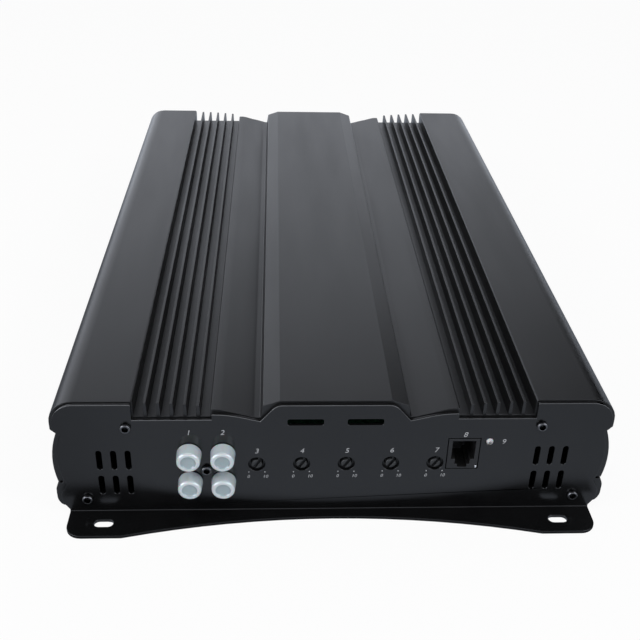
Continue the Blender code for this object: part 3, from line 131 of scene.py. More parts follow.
class JackSettings(bpy.types.PropertyGroup):
    """Sizes and colours of the jacks and their caps."""
    lip: size("Lip", "Width of the cap's raised lip", 0.0013)
    dish: size("Dish", "Depth of the cap's dished end", 0.0004)
    milky: colour("Milky plastic", "Colour of the caps", (0.68, 0.75, 0.79))
    film: colour("Thin film", "Colour of the cap's end over the dark jack", (0.285, 0.37, 0.40))
    nickel: colour("Nickel", "Colour of the sleeves", (0.66, 0.64, 0.60))


class ControlSettings(bpy.types.PropertyGroup):
    """Sizes and colours of the trimmers, remote socket and indicator."""
    slot_width: size("Slot width", "Width of the trimmers' slot", 0.0014)
    slot_depth: size("Slot depth", "Depth of the trimmers' slot", 0.0017)
    slot_angle: bpy.props.FloatProperty(name="Slot angle", description="Turn of the slot from upright",
                                        default=math.radians(34), unit="ROTATION")
    wire: size("Contact wire", "Thickness of the socket's contact wires", 0.00035)
    wire_pitch: size("Contact pitch", "Spacing of the socket's contact wires", 0.00102)
    shaft: colour("Shaft", "Colour of the trimmers' shafts", (0.020, 0.021, 0.022))
    plastic: colour("Black plastic", "Colour of the moulded plastic", (0.0075, 0.0075, 0.008))
    lens: colour("Lens", "Colour of the indicator's lens", (0.80, 0.82, 0.83))


class PrintSettings(bpy.types.PropertyGroup):
    """Sizes and colour of the printing on the panels."""
    thickness: size("Ink", "Thickness of the ink", 0.00002)
    number: size("Numbers", "Height of the control numbers", 0.0026)
    scale_number: size("Scale numbers", "Height of the numbers at the ends of a scale", 0.0017)
    dot: size("Dots", "Radius of the dots at the ends of a scale", 0.00028)
    ink: colour("Ink colour", "Colour of the ink", (0.42, 0.43, 0.45))


class TerminalSettings(bpy.types.PropertyGroup):
    """Sizes and colours of the terminals."""
    block_edge: size("Block edge", "Rounding of the blocks' edges", 0.00035)
    metal_edge: size("Metal edge", "Rounding of the contacts' edges", 0.0002)
    brass: colour("Brass", "Colour of the contacts", (0.75, 0.58, 0.27))
    zinc: colour("Zinc", "Colour of the set screws", (0.45, 0.46, 0.48))


class CircuitSettings(bpy.types.PropertyGroup):
    """Colours of the boards and components."""
    mask: colour("Solder mask", "Colour of the boards", (0.02, 0.12, 0.06))
    copper: colour("Copper", "Colour of the enamelled wire", (0.50, 0.20, 0.08))
    sleeving: colour("Sleeving", "Colour of the capacitors' sleeves", (0.03, 0.04, 0.08))
    epoxy: colour("Epoxy", "Colour of the transistors", (0.02, 0.02, 0.02))


class StudioSettings(bpy.types.PropertyGroup):
    """The camera, floor and light."""
    lens: bpy.props.FloatProperty(name="Lens", description="Focal length of the camera",
                                  default=52.5, unit="CAMERA")
    place: bpy.props.FloatVectorProperty(name="Camera place", description="Where the camera stands",
                                         default=(-0.02508, -0.49186, 0.28080), subtype="TRANSLATION")
    turn: bpy.props.FloatVectorProperty(name="Camera turn", description="How the camera is turned",
                                        default=[math.radians(angle) for angle in (59.184, -1.427, -2.370)],
                                        subtype="EULER")
    floor: size("Floor", "Half the width of the floor", 8.0)
    pale: colour("Floor colour", "Colour of the floor", (0.80, 0.80, 0.80))


SETTINGS = {
    "amplifier_case": CaseSettings,
    "amplifier_screws": ScrewSettings,
    "amplifier_jacks": JackSettings,
    "amplifier_controls": ControlSettings,
    "amplifier_print": PrintSettings,
    "amplifier_terminals": TerminalSettings,
    "amplifier_circuit": CircuitSettings,
    "amplifier_studio": StudioSettings,
}


# ---------------------------------------------------------------- finishes

class Nodes:
    """A node tree in the making."""

    def __init__(self, tree):
        self.tree = tree

    def add(self, kind, inputs=None, **settings):
        """Add a node, set it up, and link or fill its inputs."""
        made = self.tree.nodes.new(kind)
        for name, value in settings.items():
            setattr(made, name, value)
        for socket, value in (inputs or {}).items():
            if isinstance(value, bpy.types.NodeSocket):
                self.tree.links.new(value, made.inputs[socket])
            else:
                made.inputs[socket].default_value = value
        return made

    def spread(self, value, from_low, from_high, to_low, to_high):
        """Map a value from one range to another."""
        inputs = {"Value": value, "From Min": from_low, "From Max": from_high,
                  "To Min": to_low, "To Max": to_high}
        return self.add("ShaderNodeMapRange", inputs).outputs["Result"]

    def maths(self, operation, first, second=0.0):
        """Join two values by an operation."""
        return self.add("ShaderNodeMath", {0: first, 1: second}, operation=operation).outputs["Value"]

    def mixed(self, share, first, second):
        """Mix two nodes' shaders, from the first at 0 to the second at 1."""
        return self.add("ShaderNodeMixShader", {"Fac": share, 1: first.outputs[0], 2: second.outputs[0]})


class Finish(Nodes):
    """A material in the making: its nodes, its shader and the place that its patterns read."""

    def __init__(self, name, base, roughness, metallic=0.0, **sockets):
        self.material = bpy.data.materials.new(name)
        self.material.use_nodes = True
        super().__init__(self.material.node_tree)
        self.shader = self.tree.nodes["Principled BSDF"]
        self.base = base
        self.shader.inputs["Base Color"].default_value = (*base, 1)
        self.shader.inputs["Roughness"].default_value = roughness
        self.shader.inputs["Metallic"].default_value = metallic
        for socket, value in sockets.items():
            self.shader.inputs[socket.replace("_", " ")].default_value = value
        self.place = self.add("ShaderNodeTexCoord").outputs["Object"]

    def grain(self, scale, detail, stretch=(1, 1, 1)):
        """A noise pattern from 0 to 1 with scale cells a metre, stretched along the axes."""
        place = self.add("ShaderNodeMapping", {"Vector": self.place, "Scale": stretch}).outputs["Vector"]
        noise = self.add("ShaderNodeTexNoise", {"Vector": place, "Scale": scale, "Detail": detail})
        return self.spread(noise.outputs["Fac"], 0.3, 0.7, 0.0, 1.0)

    def marked(self, name, low, high, scale, detail):
        """A mark that the mesh carries, made uneven by a grain that adds from low to high."""
        mark = self.add("ShaderNodeAttribute", attribute_name=name).outputs["Fac"]
        uneven = self.spread(self.grain(scale, detail), 0.0, 1.0, low, high)
        return self.maths("ADD", mark, uneven)

    def colour(self, pattern, first, second):
        """Vary the colour from the first at 0 to the second at 1."""
        ramp = self.add("ShaderNodeValToRGB", {"Fac": pattern})
        low, high = ramp.color_ramp.elements
        low.color = (*first, 1)
        high.color = (*second, 1)
        self.tree.links.new(ramp.outputs["Color"], self.shader.inputs["Base Color"])

    def tint(self, pattern, dark, light):
        """Vary the colour between a dark and a light share of the base."""
        self.colour(pattern, [channel * dark for channel in self.base],
                    [channel * light for channel in self.base])

    def gloss(self, pattern, low, high):
        """Vary the roughness."""
        rough = self.spread(pattern, 0.0, 1.0, low, high)
        self.tree.links.new(rough, self.shader.inputs["Roughness"])

    def relief(self, *layers):
        """Add bump from (pattern, depth in metres) layers."""
        normal = None
        for pattern, depth in layers:
            inputs = {"Height": pattern, "Distance": depth, "Strength": 1.0}
            if normal is not None:
                inputs["Normal"] = normal
            normal = self.add("ShaderNodeBump", inputs).outputs["Normal"]
        self.tree.links.new(normal, self.shader.inputs["Normal"])


def anodised_finish(base):
    """Black anodised extrusion: blasted grain, faint die lines and slightly uneven dye."""
    finish = Finish("anodised_aluminium_finish", base, 0.34, IOR=1.5)
    along = 4                         # the die lines are long cells along the extrusion
    across = 1500
    lines = finish.grain(1, 3, (across, along, across))
    blast = finish.grain(5200, 1)
    finish.tint(finish.grain(28, 3), 0.86, 1.14)
    finish.gloss(finish.grain(60, 3, (1, 0.15, 1)), 0.31, 0.38)
    finish.relief((lines, 0.0000022), (blast, 0.0000016))
    return finish.material


def coated_finish(base):
    """Black satin powder coat: orange peel over a few duller patches, and a painted highlight on the marked
    rims.
    """
    finish = Finish("coated_steel_finish", base, 0.2, IOR=1.5)
    rim_highlight_gain = 24                # times as light as the base
    # The "thin" mark is a painted highlight: the rims where light from above catches the edge are painted far
    # lighter.
    finish.tint(finish.marked("thin", 0.0, 0.008, 45, 2), 0.9, rim_highlight_gain)
    finish.gloss(finish.grain(90, 3), 0.15, 0.22)
    finish.relief((finish.grain(750, 2), 0.000004), (finish.grain(3500, 1), 0.0000012))
    return finish.material


def oxide_finish(base):
    """Blackened screw steel, uneven in random patches, with painted shade that darkens the recess."""
    finish = Finish("black_screw_finish", base, 0.3, 1.0)
    # The mark is 0 in the cross recess, which is painted dark as painted shade, and 1 elsewhere. A grain adds
    # random patches.
    finish.tint(finish.marked("clear_of_recess_shade", -0.15, 0.15, 1400, 3), 0.02, 1.2)
    finish.gloss(finish.grain(900, 3), 0.24, 0.42)
    finish.relief((finish.grain(6000, 1), 0.000002))
    return finish.material


def moulded_finish(name, base, low=0.36, high=0.5):
    """Moulded plastic with a fine even grain."""
    finish = Finish(name, base, low, IOR=1.48)
    finish.tint(finish.grain(300, 2), 0.88, 1.12)
    finish.gloss(finish.grain(700, 2), low, high)
    finish.relief((finish.grain(4200, 2), 0.000006))
    return finish.material


def plated_finish(name, base, low, high, turned_lines=False):
    """Bright plated metal with fine marks from turning or rolling."""
    finish = Finish(name, base, low, 1.0)
    finish.tint(finish.grain(400, 3), 0.9, 1.08)
    finish.gloss(finish.grain(900, 3), low, high)
    stretch = (1, 14, 1) if turned_lines else (1, 1, 1)
    finish.relief((finish.grain(900, 3, stretch), 0.0000025))
    return finish.material


def milky_finish(base, film):
    """Soft translucent plastic, greyer where it is a thin film over the dark jack."""
    finish = Finish("milky_plastic_finish", base, 0.26, IOR=1.9, Specular_IOR_Level=0.9,
                    Subsurface_Weight=0.35, Subsurface_Scale=0.002)
    finish.colour(finish.marked("film", -0.06, 0.06, 260, 3), base, film)
    finish.gloss(finish.grain(500, 2), 0.14, 0.24)
    finish.relief((finish.grain(900, 2), 0.000006))
    return finish.material


def ink_finish(base):
    """Matt screen printing ink, a little uneven."""
    finish = Finish("ink_finish", base, 0.55)
    finish.tint(finish.grain(1500, 3), 0.8, 1.15)
    finish.relief((finish.grain(5000, 1), 0.000003))
    return finish.material


def lens_finish(base):
    """Diffused clear lens of the indicator, darker in the middle over its wires."""
    finish = Finish("indicator_lens_finish", base, 0.12, IOR=1.5, Subsurface_Weight=0.3,
                    Subsurface_Scale=0.0005)
    finish.tint(finish.marked("rim", -0.35, 0.35, 1900, 1), 0.1, 1.1)
    finish.relief((finish.grain(2500, 1), 0.000003))
    return finish.material


def board_finish(base):
    """Green solder mask over copper tracks and plated holes."""
    finish = Finish("circuit_board_finish", base, 0.3)
    tracks = finish.add("ShaderNodeTexBrick", {"Vector": finish.place, "Scale": 160.0,
                                               "Mortar Size": 0.03}, offset=0.35).outputs["Fac"]
    finish.tint(tracks, 1.0, 1.8)
    finish.gloss(finish.grain(300, 2), 0.2, 0.35)
    finish.relief((tracks, 0.00003))
    return finish.material


# ---------------------------------------------------------------- modelling

def alone(piece):
    """Select one object and nothing else, and make it the active one."""
    bpy.ops.object.select_all(action="DESELECT")
    piece.select_set(True)
    bpy.context.view_layer.objects.active = piece


@contextmanager
def editing(piece):
    """Edit one object's mesh, with all of it selected."""
    alone(piece)
    bpy.ops.object.mode_set(mode="EDIT")
    bpy.ops.mesh.select_mode(type="VERT")
    bpy.ops.mesh.select_all(action="SELECT")
    yield bmesh.from_edit_mesh(piece.data)
    bpy.ops.object.mode_set(mode="OBJECT")


def pick_faces(piece, shape, test):
    """In edit mode, select only the faces that pass a test."""
    bpy.ops.mesh.select_mode(type="FACE")
    bpy.ops.mesh.select_all(action="DESELECT")
    for face in shape.faces:
        face.select_set(test(face))
    bmesh.update_edit_mesh(piece.data)


def named(name):
    """Name the object that was just added."""
    piece = bpy.context.object
    piece.name = name
    return piece


def block(name, low, high):
    """A box between two corners, with its place in its mesh."""
    bpy.ops.object.select_all(action="DESELECT")
    centre = [(a + b) / 2 for a, b in zip(low, high)]
    bpy.ops.mesh.primitive_cube_add(size=1, location=centre, scale=[b - a for a, b in zip(low, high)])
    piece = named(name)
    settle(piece)
    return piece


def turned(name, profile, steps):
    """Turn (radius, height) points about Z: one vertex is drawn along them and the line is spun."""
    bpy.ops.object.select_all(action="DESELECT")
    bpy.ops.mesh.primitive_plane_add(size=0.001)
    piece = named(name)
    with editing(piece):
        bpy.ops.mesh.merge(type="CENTER")
        bpy.ops.transform.translate(value=(profile[0][0], 0, profile[0][1]))
        for start, end in zip(profile, profile[1:]):
            step = (end[0] - start[0], 0, end[1] - start[1])
            bpy.ops.mesh.extrude_region_move(TRANSFORM_OT_translate={"value": step})
        bpy.ops.mesh.select_all(action="SELECT")
        bpy.ops.mesh.spin(steps=steps, angle=2 * math.pi, center=(0, 0, 0), axis=(0, 0, 1))
        bpy.ops.mesh.select_all(action="SELECT")
        bpy.ops.mesh.remove_doubles(threshold=MERGE)
        bpy.ops.mesh.normals_make_consistent(inside=False)
    return piece


def round_corner(radius, height, reach, start, end, steps):
    """Profile points on an arc about (radius, height), from start to end in degrees."""
    points = []
    for index in range(steps + 1):
        angle = math.radians(start + (end - start) * index / steps)
        points.append((radius + reach * math.cos(angle), height + reach * math.sin(angle)))
    return points


def settle(piece):
    """Move an object's place, turn and scale into its mesh."""
    alone(piece)
    bpy.ops.object.transform_apply(location=True, rotation=True, scale=True)


def cut(piece, tool):
    """Cut a tool out of an object, and use it up."""
    alone(piece)
    change = piece.modifiers.new("Cut", "BOOLEAN")
    change.operation = "DIFFERENCE"
    change.object = tool
    bpy.ops.object.modifier_apply(modifier=change.name)
    bpy.data.objects.remove(tool)


def soften(piece, width, segments=2, corner=CORNER):
    """Round the sharp edges and let the flat faces stay flat under smooth shading."""
    alone(piece)
    bpy.ops.object.shade_smooth()
    if width:
        bevel = piece.modifiers.new("Edges", "BEVEL")
        bevel.limit_method = "ANGLE"
        bevel.angle_limit = corner
        bevel.width = width
        bevel.segments = segments
        bevel.use_clamp_overlap = False
        bpy.ops.object.modifier_apply(modifier=bevel.name)
    weighted = piece.modifiers.new("Normals", "WEIGHTED_NORMAL")
    weighted.keep_sharp = True
    bpy.ops.object.modifier_apply(modifier=weighted.name)


def mark(piece, name, domain, value_of):
    """Write a value for each face or each corner into the mesh, for a finish to read."""
    values = piece.data.attributes.new(name, "FLOAT", domain).data
    marked = piece.data.polygons if domain == "FACE" else piece.data.vertices
    for item, value in zip(marked, values):
        value.value = value_of(item)


def another(pattern, name, place, turn):
    """Copy a piece, with its own mesh, to a place."""
    alone(pattern)
    bpy.ops.object.duplicate()
    piece = named(name)
    piece.location = place
    piece.rotation_euler = turn
    return piece


def from_node(node):
    """A copy of a solid with its corners merged and its flat faces whole."""
    alone(frame["nodes"][node])
    bpy.ops.object.duplicate()
    piece = named(node + "_finish")
    piece.parent = None
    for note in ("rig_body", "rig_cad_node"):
        del piece[note]
    bpy.ops.mesh.customdata_custom_splitnormals_clear()
    with editing(piece):
        bpy.ops.mesh.remove_doubles(threshold=MERGE)
        bpy.ops.mesh.dissolve_limited(angle_limit=FLAT)
    return piece


def fit(piece, material, body=ROOT, nodes=()):
    """Give a piece its finish, let it ride on its body and stand for its nodes."""
    settle(piece)
    piece.data.materials.clear()
    piece.data.materials.append(material)
    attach(piece, body)
    if nodes:
        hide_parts(*nodes)


def paint_node(node, material):
    """Give a solid that is shown as it is its finish."""
    shown = frame["nodes"][node]
    shown.data.materials.clear()
    shown.data.materials.append(material)


def middle(node):
    """The middle of a solid's box."""
    low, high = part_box(node)
    return (low + high) / 2


def back_of(node):
    """The middle of the back of the box of a solid on the control end."""
    low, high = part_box(node)
    return Vector(((low.x + high.x) / 2, high.y, (low.z + high.z) / 2))


# ---------------------------------------------------------------- pieces

def mark_rim_highlight(sheet, low):
    """Mark the rounded edge along the top of a sheet for a painted highlight, where nothing covers it from
    above, and no hole's edge.
    """
    bpy.context.view_layer.update()
    start = 0.0003                    # a ray up from a face starts clear of it
    highlight_in_middle = 0.8
    fade = 2.0                        # each metre to the right

    def rim_highlight_share(face):
        x, y, z = face.center
        rounded = 0.2 < abs(face.normal.y) < 0.95 and face.normal.z > 0.25
        if z <= low or not rounded or sheet.ray_cast((x, y, z + start), (0, 0, 1))[0]:
            return 0.0
        return highlight_in_middle - fade * x

    # The "thin" mark is a painted highlight, lightest on the left and fading to the right.
    mark(sheet, "thin", "FACE", rim_highlight_share)


class AMPLIFIER_OT_case(bpy.types.Operator):
    """Round the edges of the heatsink, end panels and cover, and finish them"""
    bl_idname = "amplifier.case"
    bl_label = "Finish the Case"

    def execute(self, context):
        settings = context.scene.amplifier_case
        heatsink = from_node("heatsink")
        soften(heatsink, settings.aluminium_edge)
        fit(heatsink, anodised_finish(settings.anodised), nodes=["heatsink"])
        coat = coated_finish(settings.coat)
        for node in ("control_end_panel", "power_end_panel", "bottom_cover"):
            sheet = from_node(node)
            soften(sheet, settings.sheet_edge)
            mark_rim_highlight(sheet, settings.rim_highlight_height)
            fit(sheet, coat, nodes=[node])
        return {"FINISHED"}


def cut_cross(screw, settings, height):
    """Cut a tapered cross recess into a screw whose head ends at this height, and mark the recess's faces for
    painted shade.
    """
    depth = settings.recess_depth
    core = settings.recess_core
    floor_share = (0.55, 0.8, 1)      # of an arm's span and width, at its floor
    for turn in (0, math.pi / 2):
        arm = block("arm", (-settings.recess_span / 2, -settings.recess_arm / 2, height - depth),
                    (settings.recess_span / 2, settings.recess_arm / 2, height + depth))
        with editing(arm) as shape:
            pick_faces(arm, shape, lambda face: face.normal.z < -0.5)
            bpy.ops.transform.resize(value=floor_share)
        arm.rotation_euler.z = turn
        settle(arm)
        cut(screw, arm)
    straight, taper, point = 0.1, 1.1, 1.3      # ends of the cone's parts, as shares of the depth
    cone = turned("cone", [(0, height + depth), (core, height + depth), (core, height - straight * depth),
                           (0.6 * core, height - taper * depth), (0, height - point * depth)], 24)
    cut(screw, cone)

    # Faces sunk in the recess and not facing outward get 0 for painted shade. The rest get 1.
    def outside_recess_shade(face):
        x, y, z = face.center
        outward = (x * face.normal.x + y * face.normal.y) / max(math.hypot(x, y), 0.00001)
        sunk = height - 2 * depth < z < height - 0.0001
        return 0.0 if sunk and outward < 0.3 else 1.0

    mark(screw, "clear_of_recess_shade", "FACE", outside_recess_shade)


class AMPLIFIER_OT_screws(bpy.types.Operator):
    """Model one pan head and one flat head screw, and copy them to all their places"""
    bl_idname = "amplifier.screws"
    bl_label = "Model the Screws"

    def execute(self, context):
        settings = context.scene.amplifier_screws
        oxide = oxide_finish(settings.oxide)
        shank = 0.0015                # radius
        steps = 40
        softening = (0.00006, 2, math.radians(40))

        low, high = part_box("control_panel_screw_upper_left")
        head_radius = (high.x - low.x) / 2
        length = high.y - low.y
        head = 0.0015                 # height
        crown = 0.0001                # rise of the head's middle over its shoulder
        edge = 0.0002
        tip = 0.0008
        shoulder = settings.shoulder
        profile = [(0, head)] + round_corner(head_radius - shoulder, head - shoulder - crown, shoulder,
                                             80, 0, 6)
        profile += [(head_radius, edge), (head_radius - edge, 0), (shank, 0),
                    (shank, head - length + tip), (shank / 2, head - length), (0, head - length)]
        pan = turned("pan_screw", profile, steps)
        cut_cross(pan, settings, head)
        soften(pan, *softening)
        places = []
        for end, turn in (("control", FACE_FRONT), ("power", FACE_BACK)):
            for corner in PANEL_SCREWS:
                places.append((f"{end}_panel_screw_{corner}", turn))
        places.append(("rca_block_screw", FACE_FRONT))
        for node, turn in places:
            centre = middle(node)
            low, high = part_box(node)
            centre.y = low.y + head if turn == FACE_FRONT else high.y - head
            fit(another(pan, node + "_finish", centre, turn), oxide, nodes=[node])
        bpy.data.objects.remove(pan)

        low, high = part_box("cover_screw_front_left")
        flat_radius = (high.x - low.x) / 2
        cone = flat_radius - shank
        rim = 0.0001
        flat = turned("flat_screw", [(0, 0), (flat_radius - rim, 0), (flat_radius, -rim),
                                     (shank, -cone), (shank, low.z - high.z), (0, low.z - high.z)], steps)
        cut_cross(flat, settings, 0)
        soften(flat, *softening)
        for corner in COVER_SCREWS:
            node = "cover_screw_" + corner
            centre = middle(node)
            centre.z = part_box(node)[0].z
            fit(another(flat, node + "_finish", centre, FACE_DOWN), oxide, nodes=[node])
        bpy.data.objects.remove(flat)
        return {"FINISHED"}


def cap_profile(settings, base, nose, length):
    """The section of a cap: its dished end, raised lip, sides and bore."""
    fillet = 0.0003
    dish_fillet = 0.0002
    crown = 0.0010                    # rounding between the end and the sides
    slope = 0.0006                    # from the lip's crest to the dish
    foot = 0.0006                     # height of the widest ring
    bore = 0.00445
    bore_depth = length - 0.0013
    bore_chamfer = 0.0004
    dish_floor = length - settings.dish
    lip_inside = nose - settings.lip - slope
    end = [(0, dish_floor), (lip_inside - fillet, dish_floor)]
    end += round_corner(lip_inside - fillet, dish_floor + dish_fillet, dish_fillet, -90, 0, 2)
    lip = round_corner(lip_inside + fillet, length - fillet, fillet, 180, 90, 3)
    shoulder = round_corner(nose - crown, length - crown, crown, 90, 0, 7)
    side = [((nose + base) / 2, length / 2), (base, foot)]
    mouth = round_corner(base - fillet, fillet, fillet, 0, -90, 2) + [(bore, 0)]
    inside = [(bore, length - 0.0018), (bore - bore_chamfer, bore_depth), (0, bore_depth)]
    return end + lip + shoulder + side + mouth + inside


class AMPLIFIER_OT_jacks(bpy.types.Operator):
    """Model the jacks' nickel sleeves and the milky caps over them"""
    bl_idname = "amplifier.jacks"
    bl_label = "Model the Jacks and Caps"

    def execute(self, context):
        settings = context.scene.amplifier_jacks
        low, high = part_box("rca_input_upper_cap")
        length = high.y - low.y
        base = (high.x - low.x) / 2
        nose = base - 0.0003
        cap = turned("cap", cap_profile(settings, base, nose, length), 64)
        film_on_sides, film_on_lip, film_on_disc = 0.3, 0.24, 1.0
        end_height = length - 0.0009
        disc_radius = base - settings.lip - 0.0007

        def filminess(corner):
            if corner.co.z <= end_height:
                return film_on_sides
            return film_on_disc if math.hypot(*corner.co.xy) < disc_radius else film_on_lip

        mark(cap, "film", "POINT", filminess)
        soften(cap, 0)
        low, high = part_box("rca_input_upper_sleeve")
        radius = (high.x - low.x) / 2
        depth = high.y - low.y
        inside = radius - 0.0005
        edge = 0.0002
        fine_edge = 0.0001
        groove = (depth - 0.0012, depth - 0.0014, depth - 0.0016)
        sleeve = turned("sleeve", [
            (inside, 0), (inside, depth - fine_edge), (inside + fine_edge, depth),
            (radius - edge, depth), (radius, depth - edge),
            (radius, groove[0]), (radius - fine_edge, groove[1]), (radius, groove[2]),
            (radius, 0), (inside, 0)], 48)
        soften(sleeve, 0)
        milky = milky_finish(settings.milky, settings.film)
        nickel = plated_finish("nickel_finish", settings.nickel, 0.16, 0.28)
        for jack in RCA_JACKS:
            cap_node = jack + "_cap"
            fit(another(cap, cap_node + "_finish", back_of(cap_node), FACE_FRONT), milky,
                jack + "_cover", [cap_node])
            sleeve_node = jack + "_sleeve"
            fit(another(sleeve, sleeve_node + "_finish", back_of(sleeve_node), FACE_FRONT), nickel,
                nodes=[sleeve_node])
        bpy.data.objects.remove(cap)
        bpy.data.objects.remove(sleeve)
        plastic = moulded_finish("jack_plastic_finish", context.scene.amplifier_controls.plastic)
        paint_node("rca_jack_block", plastic)
        return {"FINISHED"}


class AMPLIFIER_OT_trimmers(bpy.types.Operator):
    """Model the trimmers' slotted shafts and finish their bodies"""
    bl_idname = "amplifier.trimmers"
    bl_label = "Model the Trimmers"

    def execute(self, context):
        settings = context.scene.amplifier_controls
        low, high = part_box("gain_shaft")
        radius = (high.x - low.x) / 2
        length = high.y - low.y
        chamfer = 0.00025
        shaft = turned("shaft", [(0, length), (radius - chamfer, length), (radius, length - chamfer),
                                 (radius, 0), (0, 0)], 48)
        tool = block("slot", (-settings.slot_width / 2, -2 * radius, length - settings.slot_depth),
                     (settings.slot_width / 2, 2 * radius, length + settings.slot_depth))
        tool.rotation_euler.z = -settings.slot_angle
        settle(tool)
        cut(shaft, tool)
        soften(shaft, 0.00007, 2, math.radians(50))
        nylon = moulded_finish("trimmer_shaft_finish", settings.shaft, 0.3, 0.42)
        plastic = moulded_finish("trimmer_body_finish", settings.plastic)
        for trimmer in TRIMMERS:
            node = trimmer + "_shaft"
            fit(another(shaft, node + "_finish", back_of(node), FACE_FRONT), nylon,
                trimmer + "_rotor", [node])
            body = from_node(trimmer + "_pot")
            soften(body, 0.0002)
            fit(body, plastic, nodes=[trimmer + "_pot"])
        bpy.data.objects.remove(shaft)
        return {"FINISHED"}


def wire(name, points, thickness):
    """A round wire along points, made a mesh."""
    line = bpy.data.curves.new(name, "CURVE")
    line.dimensions = "3D"
    line.bevel_depth = thickness / 2
    line.bevel_resolution = 2
    line.use_fill_caps = True
    spline = line.splines.new("POLY")
    spline.points.add(len(points) - 1)
    for point, place in zip(spline.points, points):
        point.co = (*place, 1)
    piece = bpy.data.objects.new(name, line)
    bpy.context.scene.collection.objects.link(piece)
    alone(piece)
    bpy.ops.object.convert(target="MESH")
    with editing(piece):
        bpy.ops.mesh.remove_doubles(threshold=MERGE)
    bpy.ops.object.shade_smooth_by_angle(angle=math.radians(40))
    return piece


class AMPLIFIER_OT_socket(bpy.types.Operator):
    """Finish the remote socket and give it its contact wires and peg"""
    bl_idname = "amplifier.socket"
    bl_label = "Model the Remote Socket"

    def execute(self, context):
        settings = context.scene.amplifier_controls
        low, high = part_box("remote_jack")
        socket = from_node("remote_jack")
        soften(socket, 0.00018)
        fit(socket, moulded_finish("socket_plastic_finish", settings.plastic),
            nodes=["remote_jack"])
        gold = plated_finish("contact_wire_finish", (0.85, 0.62, 0.28), 0.16, 0.28)
        ways = 6
        centre = (low.x + high.x) / 2
        roof = high.z - 0.0024
        # How far inwards and down from the roof each bend of a wire is.
        bends = ((0.0030, 0.0), (0.0036, 0.0004), (0.0105, 0.0044), (0.0112, 0.0045))
        for index in range(ways):
            x = centre + (index - (ways - 1) / 2) * settings.wire_pitch
            path = [(x, low.y + inward, roof - down) for inward, down in bends]
            contact = wire(f"socket_contact_{index + 1}", path, settings.wire)
            fit(contact, gold)
        peg = block("socket_peg", (high.x - 0.0012, low.y - 0.0005, low.z + 0.0004),
                    (high.x - 0.0004, low.y + 0.0010, low.z + 0.0018))
        soften(peg, 0.0003, 3)
        fit(peg, plated_finish("peg_finish", (0.8, 0.8, 0.8), 0.2, 0.3))
        return {"FINISHED"}


class AMPLIFIER_OT_indicator(bpy.types.Operator):
    """Model the indicator's lens with its flange and holder"""
    bl_idname = "amplifier.indicator"
    bl_label = "Model the Indicator"

    def execute(self, context):
        settings = context.scene.amplifier_controls
        low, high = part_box("power_led")
        radius = 0.0015
        flange = radius + 0.0004
        reach = high.y - low.y
        flange_front = reach - 0.0032
        flange_back = reach - 0.0042
        centre_z = high.z - 0.0016
        dome = round_corner(0, reach - radius, radius, 90, 0, 10)
        lens = turned("power_led_finish", dome + [(radius, flange_front), (flange, flange_front),
                                                  (flange, flange_back), (0, flange_back)], 40)
        mark(lens, "rim", "POINT", lambda corner: min(1.0, (math.hypot(*corner.co.xy) / radius) ** 2))
        lens.location = (middle("power_led").x, high.y, centre_z)
        lens.rotation_euler = FACE_FRONT
        soften(lens, 0)
        fit(lens, lens_finish(settings.lens), nodes=["power_led"])
        holder_front = low.y + 0.0029
        holder = block("power_led_holder", (low.x, holder_front, low.z), (high.x, high.y, high.z))
        soften(holder, 0.0002)
        fit(holder, moulded_finish("holder_plastic_finish", settings.plastic))
        return {"FINISHED"}


class AMPLIFIER_OT_terminals(bpy.types.Operator):
    """Finish the terminal blocks, their contacts and set screws"""
    bl_idname = "amplifier.terminals"
    bl_label = "Finish the Terminals"

    def execute(self, context):
        settings = context.scene.amplifier_terminals
        plastic = moulded_finish("terminal_plastic_finish", context.scene.amplifier_controls.plastic)
        brass = plated_finish("terminal_brass_finish", settings.brass, 0.2, 0.32, True)
        zinc = plated_finish("set_screw_finish", settings.zinc, 0.25, 0.4)
        for node in ("power_terminal_block", "speaker_terminal_block"):
            piece = from_node(node)
            soften(piece, settings.block_edge)
            fit(piece, plastic, nodes=[node])
        for way in WAYS:
            contact = from_node(way + "_contact")
            soften(contact, settings.metal_edge)
            fit(contact, brass, nodes=[way + "_contact"])
            screw = from_node(way + "_set_screw")
            soften(screw, settings.metal_edge / 2)
            fit(screw, zinc, way + "_clamp", [way + "_set_screw"])
        return {"FINISHED"}


class AMPLIFIER_OT_circuit(bpy.types.Operator):
    """Finish the boards and the components inside the case"""
    bl_idname = "amplifier.circuit"
    bl_label = "Finish the Circuit"

    def execute(self, context):
        settings = context.scene.amplifier_circuit
        board = board_finish(settings.mask)
        copper = plated_finish("winding_finish", settings.copper, 0.25, 0.4)
        sleeving = moulded_finish("sleeving_finish", settings.sleeving, 0.25, 0.35)
        epoxy = moulded_finish("transistor_finish", settings.epoxy)
        for material, nodes in ((board, BOARDS), (copper, WINDINGS), (sleeving, CAPACITORS),
                                (epoxy, TRANSISTORS)):
            for node in nodes:
                paint_node(node, material)
        return {"FINISHED"}


# ---------------------------------------------------------------- printing

def printed_text(text, height, x, z, thickness):
    """A number as a thin raised print on the control end panel, centred on a place."""
    bpy.ops.object.select_all(action="DESELECT")
    bpy.ops.object.text_add(location=(x, PANEL_FACE - thickness, z), rotation=FACE_FRONT)
    piece = bpy.context.object
    letters = piece.data
    letters.body = text
    letters.size = height * 1.35      # a digit is shorter than its type size
    letters.align_x = "CENTER"
    letters.align_y = "CENTER"
    letters.shear = 0.2
    letters.extrude = thickness / 2
    letters.resolution_u = 4
    bpy.ops.object.convert(target="MESH")
    settle(piece)
    return piece


def printed_dot(radius, x, z, thickness):
    """A round dot as a thin raised print on the control end panel."""
    top = 1.5 * thickness
    piece = turned("dot", [(0, top), (radius - thickness, top), (radius, thickness), (radius, 0), (0, 0)], 16)
    piece.location = (x, PANEL_FACE, z)
    piece.rotation_euler = FACE_FRONT
    settle(piece)
    return piece


